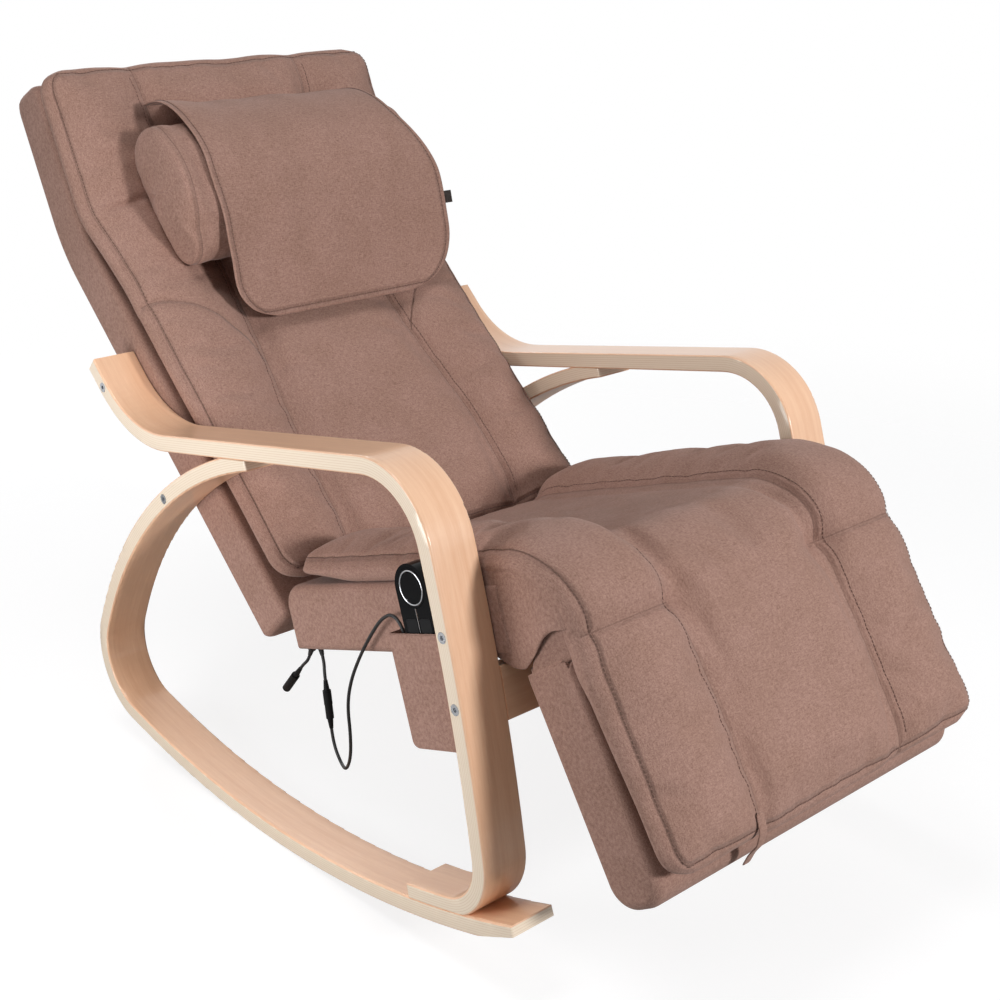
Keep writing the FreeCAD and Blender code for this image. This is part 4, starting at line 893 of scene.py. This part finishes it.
def grain_along(piece, path, across_start):
    """Gives each point its place along, through and across a bent board."""
    count = int(path.length() / grain_step)
    poses = [path.pose(index * grain_step) for index in range(count + 1)]
    line = np.array([pose[0] for pose in poses])
    turn = np.array([pose[1] for pose in poses])
    points = coordinates(piece)
    grain = np.empty_like(points)
    for index, point in enumerate(points):
        away = point[1:] - line
        near = int(np.argmin((away ** 2).sum(1)))
        along = near * grain_step + away[near] @ ahead(turn[near])
        grain[index] = (along, away[near] @ left_of(turn[near]), point[0] - across_start)
    set_attribute(piece, "grain", grain)


for side, across_start in (("right", -0.330), ("left", 0.268)):
    grain_along(solid_copy(side + "_arm_strip", longest=board_mesh), arm_path, across_start)
    grain_along(solid_copy(side + "_rocker_strip", longest=board_mesh), rocker_path, across_start)
rail = solid_copy("front_rail", longest=2.0 * board_mesh)
rail_points = coordinates(rail)
rail_lean = 256.48
rail_heading = heading_axis(rail_lean)
rail_start = np.array([0.0, -0.37891, 0.33450])
rail_away = rail_points - rail_start
rail_along = rail_away[:, 1:] @ np.array(rail_heading)[1:]
rail_through = rail_away[:, 1:] @ np.array([-rail_heading[2], rail_heading[1]])
set_attribute(rail, "grain", np.stack((rail_points[:, 0], rail_through, rail_along), 1))

# Flap: a hemmed cloth from a seam at the top of the back, over the head cushion
flap_path = Path((0.50072, 0.86044), 168.6).arc(0.1724, 38.8).arc(0.119, 36.6).arc(0.33, 12.5).straight(0.138)
flap_left, flap_right = -0.150, 0.235
flap_length = flap_path.length() - 0.010
flap_thick = 0.0025
flap_corners = (0.062, 0.090)
flap_hem = 0.008
flap_rows, flap_columns = 46, 44


def flap_place(x, distance, off):
    point, heading = flap_path.pose(distance)
    y, z = point - off * left_of(heading)
    return x, y, z


flap_points = []
flap_edge = []
for row in range(flap_rows):
    distance = flap_length * row / (flap_rows - 1)
    insets = [float(round_in(np.float64(flap_length - distance), corner)) for corner in flap_corners]
    wave = 0.004 * float(ripple(np.array([0.1, distance, 0.2]), 0.060, 8)) * float(ease(distance, 0.03, 0.10))
    left = flap_left + insets[0] + wave
    narrowing = 0.038 * (1.0 - float(ease(distance, 0.11, 0.235)))
    right = flap_right - insets[1] - narrowing
    for column in range(flap_columns):
        x = left + (right - left) * column / (flap_columns - 1)
        lift = 0.0015 + 0.0030 * (1.0 + float(ripple(np.array([x, 0.45 * distance, 0.3]), 0.055, 5)))
        corner_puff = 0.010 * math.exp(-((x - flap_left) / 0.05) ** 2 - ((distance - 0.05) / 0.05) ** 2)
        flap_points.append(flap_place(x, distance, lift + corner_puff))
        flap_edge.append(min(x - left, right - x, flap_length - distance) - flap_hem)
flap_grid = np.arange(flap_rows * flap_columns).reshape(flap_rows, flap_columns)
flap = new_piece("flap", flap_points, grid_faces(flap_grid).tolist(), "seamed_cloth")
set_seams(flap, np.array(flap_edge))
thicken(flap, flap_thick)
round_off(flap)
bend_length = 0.060
flap_bend = {"start": flap_place(0.0, 0.0, 0.0), "end": flap_place(0.0, bend_length, 0.0)}
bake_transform(flap)
dress(flap, "brown_cloth", "head_flap")

# Head cushion: a tube of cloth closed by a panel at each end, from the section of its solid
pillow_low, pillow_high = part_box("head_pillow")
pillow_points = 60
pillow_shrink = 0.97
panel_dome = 0.015
panel_edge = 0.007
panel_shares = (0.96, 0.86, 0.72, 0.56, 0.38, 0.18)
body_rings = 38
pillow_pressure, pillow_slack, pillow_swell = 2.5, 0.02, 0.006
pillow_gap = 0.001
flap_steps = 400


def solid_section(node, x):
    """The outline of a solid cut across at x, as evenly spaced points in the side view."""
    work = bmesh.new()
    work.from_mesh(nodes[node].data)
    bmesh.ops.remove_doubles(work, verts=work.verts, dist=join_distance)
    everything = work.verts[:] + work.edges[:] + work.faces[:]
    cut = bmesh.ops.bisect_plane(work, geom=everything, plane_co=(x, 0, 0), plane_no=(1, 0, 0))["geom_cut"]
    outline = np.array([vertex.co[1:] for vertex in cut if isinstance(vertex, bmesh.types.BMVert)])
    work.free()
    away = outline - outline.mean(0)
    outline = outline[np.argsort(np.arctan2(away[:, 1], away[:, 0]))]
    closed = np.vstack((outline, outline[:1]))
    length = np.concatenate(([0.0], np.cumsum(np.linalg.norm(np.diff(closed, axis=0), axis=1))))
    even = np.linspace(0.0, length[-1], pillow_points, endpoint=False)
    return np.stack((np.interp(even, length, closed[:, 0]), np.interp(even, length, closed[:, 1])), 1)


section = solid_section("head_pillow", 0.5 * (pillow_low[0] + pillow_high[0]))
section_centre = section.mean(0)
pillow_loops = []
for share in panel_shares[::-1]:
    pillow_loops.append((pillow_low[0] - panel_dome * (1.0 - share ** 2) + panel_dome, share))
body_start = pillow_low[0] + panel_edge + panel_dome
body_length = pillow_high[0] - pillow_low[0] - 2.0 * (panel_edge + panel_dome)
for ring in range(body_rings + 1):
    pillow_loops.append((body_start + body_length * ring / body_rings, 1.0))
for share in panel_shares:
    pillow_loops.append((pillow_high[0] + panel_dome * (1.0 - share ** 2) - panel_dome, share))
points = []
for x, share in pillow_loops:
    outline = section_centre + (section - section_centre) * share * pillow_shrink
    points += [(x, y, z) for y, z in outline]
pole_rise = 0.0002
for end_x, rise in ((pillow_loops[0][0], -pole_rise), (pillow_loops[-1][0], pole_rise)):
    points.append((end_x + rise, *section_centre))
loops = np.arange(len(pillow_loops) * pillow_points).reshape(-1, pillow_points)
faces = []
for near, far in zip(loops, loops[1:]):
    faces += band_faces(near, far).tolist()
for pole, loop in ((len(points) - 2, loops[0]), (len(points) - 1, loops[-1])):
    faces += [[int(first), int(second), pole] for first, second in zip(loop, np.roll(loop, -1))]
pillow = new_piece("pillow", points, faces, "seamed_cloth")
outward(pillow)
ends = len(panel_shares)
pillow_x = np.array(points)[:, 0]
set_seams(pillow, np.minimum(pillow_x - pillow_loops[ends][0], pillow_loops[-ends - 1][0] - pillow_x))
sewn = np.zeros(len(points), bool)
sewn[loops[ends]] = True
sewn[loops[-ends - 1]] = True
swell(pillow, sewn, pillow_pressure, pillow_slack, pillow_swell)
flap_samples = [flap_path.pose(flap_length * index / flap_steps) for index in range(flap_steps + 1)]
flap_line = np.array([pose[0] for pose in flap_samples])
flap_in = np.array([left_of(pose[1]) for pose in flap_samples])
pillow_room = coordinates(pillow)
for index, point in enumerate(pillow_room):
    near = int(np.argmin(((flap_line - point[1:]) ** 2).sum(1)))
    inside = (point[1:] - flap_line[near]) @ flap_in[near]
    if inside < pillow_gap:
        pillow_room[index, 1:] += flap_in[near] * (pillow_gap - inside)
set_coordinates(pillow, pillow_room)
round_off(pillow)
dress(pillow, "brown_cloth", "head_pillow", body="head_cushion")

# Stitches along the seams, one mesh for each way of moving
stitch_sizes = {"Pitch": 0.0052, "Length": 0.0036, "Thread": 0.00045}
stitch_sides = 6
stitch_lift = 0.0004
unstitched_rows = 3


def stitch_tree():
    """Nodes that lay even stitches along the edges of a mesh, and the identifiers of their sizes."""
    tree = bpy.data.node_groups.new("stitches", "GeometryNodeTree")
    tree.interface.new_socket("Seams", in_out="INPUT", socket_type="NodeSocketGeometry")
    identifiers = {}
    for name in stitch_sizes:
        socket = tree.interface.new_socket(name, in_out="INPUT", socket_type="NodeSocketFloat")
        identifiers[name] = socket.identifier
    tree.interface.new_socket("Stitches", in_out="OUTPUT", socket_type="NodeSocketGeometry")
    net = Nodes(tree)
    given = {socket.name: Value(net, socket) for socket in tree.nodes.new("NodeGroupInput").outputs}
    line = net.add("GeometryNodeMeshToCurve", {"Mesh": given["Seams"]})
    places = net.add("GeometryNodeCurveToPoints", {"Curve": line, "Length": given["Pitch"]}, mode="LENGTH")
    turns = Value(net, places.socket.node.outputs["Rotation"])
    stitch = net.add("GeometryNodeMeshCylinder", {"Vertices": stitch_sides, "Depth": given["Length"],
                                                  "Radius": given["Thread"]})
    laid = net.add("GeometryNodeInstanceOnPoints", {"Points": places, "Rotation": turns, "Instance": stitch})
    whole = net.add("GeometryNodeRealizeInstances", {"Geometry": laid})
    thread = net.add("GeometryNodeSetMaterial", {"Geometry": whole, "Material": paints["thread"]})
    net.put(tree.nodes.new("NodeGroupOutput").inputs["Stitches"], thread)
    return tree, identifiers


stitches, stitch_inputs = stitch_tree()


def sew(name, piece, lines):
    """Stitches along lines of a piece's own points, on its surface as it is now."""
    surface = evaluated_mesh(piece).vertices
    points, edges = [], []
    for line in lines:
        edges += [(len(points) + step, len(points) + step + 1) for step in range(len(line) - 1)]
        points += [surface[int(index)].co + surface[int(index)].normal * stitch_lift for index in line]
    mesh = bpy.data.meshes.new(name)
    mesh.from_pydata(points, edges, [])
    sewn_line = placed(name, mesh)
    layer = sewn_line.modifiers.new("stitches", "NODES")
    layer.node_group = stitches
    for size, value in stitch_sizes.items():
        layer[stitch_inputs[size]] = value
    thread_mesh = evaluated_mesh(sewn_line)
    sewn_line.modifiers.remove(layer)
    sewn_line.data = thread_mesh
    return sewn_line


def pad_lines(pad):
    """The stitched ring inside a pad's edge and the rows beside its channels."""
    ring = pad.grid[tuple(pad.ring(1))]
    beside = pad.outer_columns - 1
    rows = slice(unstitched_rows, pad.rows - unstitched_rows)
    return [np.append(ring, ring[0]), pad.grid[rows, beside], pad.grid[rows, pad.columns - 1 - beside]]


back_stitches = sew("back_stitches", back_cushion, pad_lines(back_pad))
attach(back_stitches, "frame")
seat_stitches = sew("seat_stitches", seat_cushion, pad_lines(seat_pad))
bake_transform(seat_stitches)
outer_face = flap_grid + flap_grid.size
hem_line = np.concatenate((outer_face[:-2, 1], outer_face[-2, 1:-2], outer_face[-2::-1, -2]))
flap_stitches = sew("flap_stitches", flap, [hem_line])
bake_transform(flap_stitches)

# Side falls of the cover at the knee, over the hinge
fall_rows, fall_columns = 12, 26
fall_x = 0.2637
panel_thick = 0.002


def knee_point(heading, radius):
    return hinge + radius * ahead(math.radians(heading))


fall_tops = [seat.at(0.085, 0.106), seat.at(0.045, 0.106), seat.at(0.005, 0.106), knee_point(90.0, 0.094),
             knee_point(106.0, 0.090), knee_point(120.0, 0.086), knee_point(132.0, 0.082),
             knee_point(142.0, 0.078)]
fall_hems = [seat.at(0.085, 0.060), seat.at(0.060, 0.016), seat.at(0.036, 0.002), knee_point(-52.0, 0.033),
             knee_point(-85.0, 0.021), knee_point(-180.0, 0.012), knee_point(134.0, 0.031),
             knee_point(130.0, 0.052)]


def along_points(points, share):
    """A place on a smooth line through some points."""
    at = share * (len(points) - 1)
    index = min(int(at), len(points) - 2)
    part = ease(at - index, 0.0, 1.0) * 0.3 + (at - index) * 0.7
    return points[index] * (1.0 - part) + points[index + 1] * part


def cloth_panel(name, body, rows, columns, side, place):
    """A thin panel of cloth that rides on a body, and its area.
    Its points are placed by the side that it is on and the shares down and across it."""
    shares = [(row / (rows - 1), column / (columns - 1)) for row in range(rows) for column in range(columns)]
    points = np.array([place(side, down, across) for down, across in shares])
    grid = np.arange(rows * columns).reshape(rows, columns)
    panel = new_piece(name, points, grid_faces(grid).tolist(), "brown_cloth")
    thicken(panel, panel_thick)
    round_off(panel)
    dress(panel, "brown_cloth", body=body)
    corners = points[grid]
    crosses = np.cross(corners[1:, 1:] - corners[:-1, :-1], corners[1:, :-1] - corners[:-1, 1:])
    return panel, float(0.5 * np.linalg.norm(crosses, axis=-1).sum())


def fall_place(side, drop, share):
    y, z = along_points(fall_tops, share) * (1.0 - drop) + along_points(fall_hems, share) * drop
    fold = float(ripple(np.array([0.4 * y + 0.9 * share, 0.2 * z, side]), 0.16, 6))
    x = fall_x + 0.0010 * fold + 0.0042 * math.sin(math.pi * drop) * float(ease(-y, 0.405, 0.440))
    return side * x, y, z


for name, side in (("right_knee_fall", -1.0), ("left_knee_fall", 1.0)):
    fall, area = cloth_panel(name, "frame", fall_rows, fall_columns, side, fall_place)

# Ears of the footrest's cover, beside the hinge
ear_rows, ear_columns = 8, 8
ear_x = 0.2597


def ear_place(side, rise, share):
    bow = 0.042 * math.sin(rise * math.pi / 2.0) + 0.016 * math.sin(rise * math.pi)
    bow += 0.014 * float(ease(rise, 0.35, 0.65))
    rear = foot.at(0.262 + bow, 0.009 + 0.090 * rise)
    front = foot.at(0.250 + 0.022 * rise, 0.004 + 0.092 * rise)
    y, z = rear * (1.0 - share) + front * share
    return side * (ear_x + 0.0005 * math.sin(math.pi * share) - 0.004 * share ** 3), y, z


for name, side in (("right_foot_ear", -1.0), ("left_foot_ear", 1.0)):
    ear, area = cloth_panel(name, "footrest", ear_rows, ear_columns, side, ear_place)

# Tail of the cover's binding at the lower end of the footrest
tail_x = 0.128
tail_width = 0.013
tail_line = [foot.at(0.048, 0.1265), foot.at(0.028, 0.121), foot.at(0.015, 0.109), foot.at(0.008, 0.092),
             foot.at(-0.002, 0.077)]
tail_rows, tail_columns = 15, 4


def tail_place(side, drop, share):
    y, z = along_points(tail_line, drop)
    return side * (tail_x + tail_width * share), y, z


tail, area = cloth_panel("binding_tail", "footrest", tail_rows, tail_columns, -1.0, tail_place)

# Hand control: a thin bright ring round the main button and a line between the keys, in a black bezel
button_low, button_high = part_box("remote_button")
trim_low, trim_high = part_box("remote_trim")
button_centre = 0.5 * (np.array(button_low) + np.array(button_high))[1:]
button_radius = 0.5 * (button_high[1] - button_low[1])
trim_radius = trim_high[2] - button_centre[1]
trim_top, trim_foot = trim_low[0], trim_high[0]
ring_bead = 0.0011
ring_radius = button_radius + 0.0017
line_half = 0.0007
line_start = trim_radius
line_end = (button_centre[1] - trim_low[2]) / seat.up[1]
ring_steps = 64
bead_steps = 10
bead_sunk = 0.8


def turned(profile):
    """A closed profile of radius and x turned about the button's axis."""
    points, faces = [], []
    loops = np.arange(ring_steps * len(profile)).reshape(ring_steps, -1)
    for step, loop in enumerate(loops):
        turn = 2.0 * math.pi * step / ring_steps
        for radius, x in profile:
            y, z = button_centre + radius * ahead(turn)
            points.append((x, y, z))
        faces += band_faces(loop, loops[(step + 1) % ring_steps]).tolist()
    return points, faces


bead_x = trim_top + ring_bead * bead_sunk
bead = []
for step in range(bead_steps):
    turn = 2.0 * math.pi * step / bead_steps
    bead.append((ring_radius + ring_bead * math.cos(turn), bead_x + ring_bead * math.sin(turn)))
points, faces = turned(bead)
trim_middle = 0.5 * (trim_foot + trim_top)
line_section = [(-1.0, trim_foot), (-1.0, trim_middle), (-0.5, trim_top), (0.5, trim_top), (1.0, trim_middle),
                (1.0, trim_foot)]
line_loops = np.arange(2 * len(line_section)).reshape(2, -1) + len(points)
for down in (line_start, line_end):
    for across, x in line_section:
        y, z = button_centre - seat.up * down + seat.along * across * line_half
        points.append((x, y, z))
faces += band_faces(*line_loops).tolist() + line_loops.tolist()
ring = new_piece("remote_ring", points, faces, "chrome")
dress(ring, "chrome", "remote_trim", body="hand_control")
bezel_edge = 0.0004
bezel_inner = button_radius + 0.0003
points, faces = turned([(bezel_inner, trim_foot), (bezel_inner + bezel_edge, trim_top + bezel_edge),
                        (trim_radius - bezel_edge, trim_top + bezel_edge), (trim_radius, trim_foot)])
bezel = new_piece("remote_bezel", points, faces, "black_gloss")
dress(bezel, "black_gloss", body="hand_control")
for piece in (ring, bezel):
    outward(piece)
    smooth(piece, 50.0)

# Upholstered boxes and the pocket, with their sharp edges eased
for node, edge in (("seat_cover", 0.010), ("footrest_cover", 0.007), ("remote_pocket", 0.0015)):
    solid_copy(node, angle=40.0, bevel=edge)

# The back's box: rings round the bent line of the back, drawn in at its ends
box_thick = 0.075
box_half = 0.2675
box_edge = 0.009
box_ends = (0.010, 0.026)
box_side_ends = (0.010, 0.012)
box_overrun = 0.006
box_length = back_path.length() + box_overrun
end_steps = 7
body_steps = 60
corner_steps = 5
side_steps = 10


def box_section(side_inset, inset):
    """A rectangle with round corners, across and off the back's line, drawn in at its sides and faces."""
    low, high = inset, box_thick - inset
    radius = min(box_edge, 0.49 * (high - low))
    across = box_half - side_inset - radius
    middle, rise = 0.5 * (low + high), 0.5 * (high - low) - radius
    outline = []
    for quarter, (side, level) in enumerate(((1.0, 1.0), (-1.0, 1.0), (-1.0, -1.0), (1.0, -1.0))):
        for step in range(corner_steps + 1):
            turn = 0.5 * math.pi * (quarter + step / corner_steps)
            off = middle + level * rise + radius * math.sin(turn)
            outline.append((side * across + radius * math.cos(turn), off))
        if side == level:
            start_x, off = outline[-1]
            reach = side * 2.0 * across
            outline += [(start_x - reach * step / side_steps, off) for step in range(1, side_steps)]
    return outline


end_turns = [0.5 * math.pi * step / end_steps for step in range(end_steps)]
box_places = [box_ends[0] * (1.0 - math.cos(turn)) for turn in end_turns]
box_places += list(np.linspace(box_ends[0], box_length - box_ends[1], body_steps))
box_places += [box_length - box_ends[1] * (1.0 - math.cos(turn)) for turn in end_turns[::-1]]
points, rings = [], []
for place in box_places:
    insets = []
    for ends_radius in (box_side_ends, box_ends):
        insets.append(round_in(place, ends_radius[0]) + round_in(box_length - place, ends_radius[1]))
    point, heading = back_path.pose(place)
    up = left_of(heading)
    outline = box_section(*insets)
    rings.append(list(range(len(points), len(points) + len(outline))))
    points += [(x, *(point + up * off)) for x, off in outline]
faces = [rings[0], rings[-1]]
for near, far in zip(rings, rings[1:]):
    faces += band_faces(near, far).tolist()
back_box = new_piece("back_cover_look", points, faces, "brown_cloth")
outward(back_box)
smooth(back_box, 50.0)
dress(back_box, "brown_cloth", "back_cover", body="frame")

# Stage: a white floor that fades out round the chair, a white surround and soft lamps
scene.view_settings.view_transform = "Standard"
floor_height = size_at_load[0][2]
floor_reach = 4.0
floor_fade = (1.1, 2.6)
floor_bounce, floor_shown = (0.40, 0.40, 0.40, 1.0), (0.27, 0.27, 0.275, 1.0)
floor_glow = 0.79
floor_paint = Paint("floor", Roughness=0.9, Specular_IOR_Level=0.1, Emission_Color=(1.0, 1.0, 1.0, 1.0))
seen = floor_paint.add("ShaderNodeLightPath", output="Is Camera Ray")
floor_paint.set("Base Color", floor_paint.mix(seen, floor_bounce, floor_shown))
floor_paint.set("Emission Strength", seen * floor_glow)
radius = floor_paint.add("ShaderNodeVectorMath", {0: floor_paint.place()}, output="Value", operation="LENGTH")
floor_paint.set("Alpha", radius.between(*floor_fade, 1.0, 0.0))
paints["floor"] = floor_paint.material
corners = [(-floor_reach, -floor_reach), (floor_reach, -floor_reach), (floor_reach, floor_reach),
           (-floor_reach, floor_reach)]
floor = new_piece("floor", [(x, y, floor_height) for x, y in corners], [(0, 1, 2, 3)], "floor")

world = bpy.data.worlds.new("surround")
scene.world = world
world.use_nodes = True
ambient = 0.14
surround = Nodes(world.node_tree)
camera_ray, glossy_ray, clear_ray = (surround.add("ShaderNodeLightPath", output=name) for name in
                                     ("Is Camera Ray", "Is Glossy Ray", "Is Transmission Ray"))
seen = camera_ray.math("MAXIMUM", glossy_ray).math("MAXIMUM", clear_ray)
background = world.node_tree.nodes["Background"]
surround.put(background.inputs["Color"], (1.0, 1.0, 1.0, 1.0))
surround.put(background.inputs["Strength"], seen.between(0.0, 1.0, ambient, 1.0))


def lamp(name, place, target, size, power):
    data = bpy.data.lights.new(name, "AREA")
    data.shape = "DISK"
    data.size = size
    data.energy = power
    aim(placed(name, data), place, target)


lamp("front_lamp", (0.55, -3.3, 1.55), (0.0, -0.1, 0.4), size=0.5, power=76.0)
lamp("side_lamp", (-1.25, 0.10, 0.42), (-0.2, 0.0, 0.4), size=0.6, power=7.4)
lamp("top_lamp", (-0.8, 0.1, 2.8), (0.0, 0.0, 0.4), size=1.2, power=22.0)
lamp("rear_lamp", (0.7, 3.2, 1.8), (0.0, 0.2, 0.4), size=1.2, power=40.0)
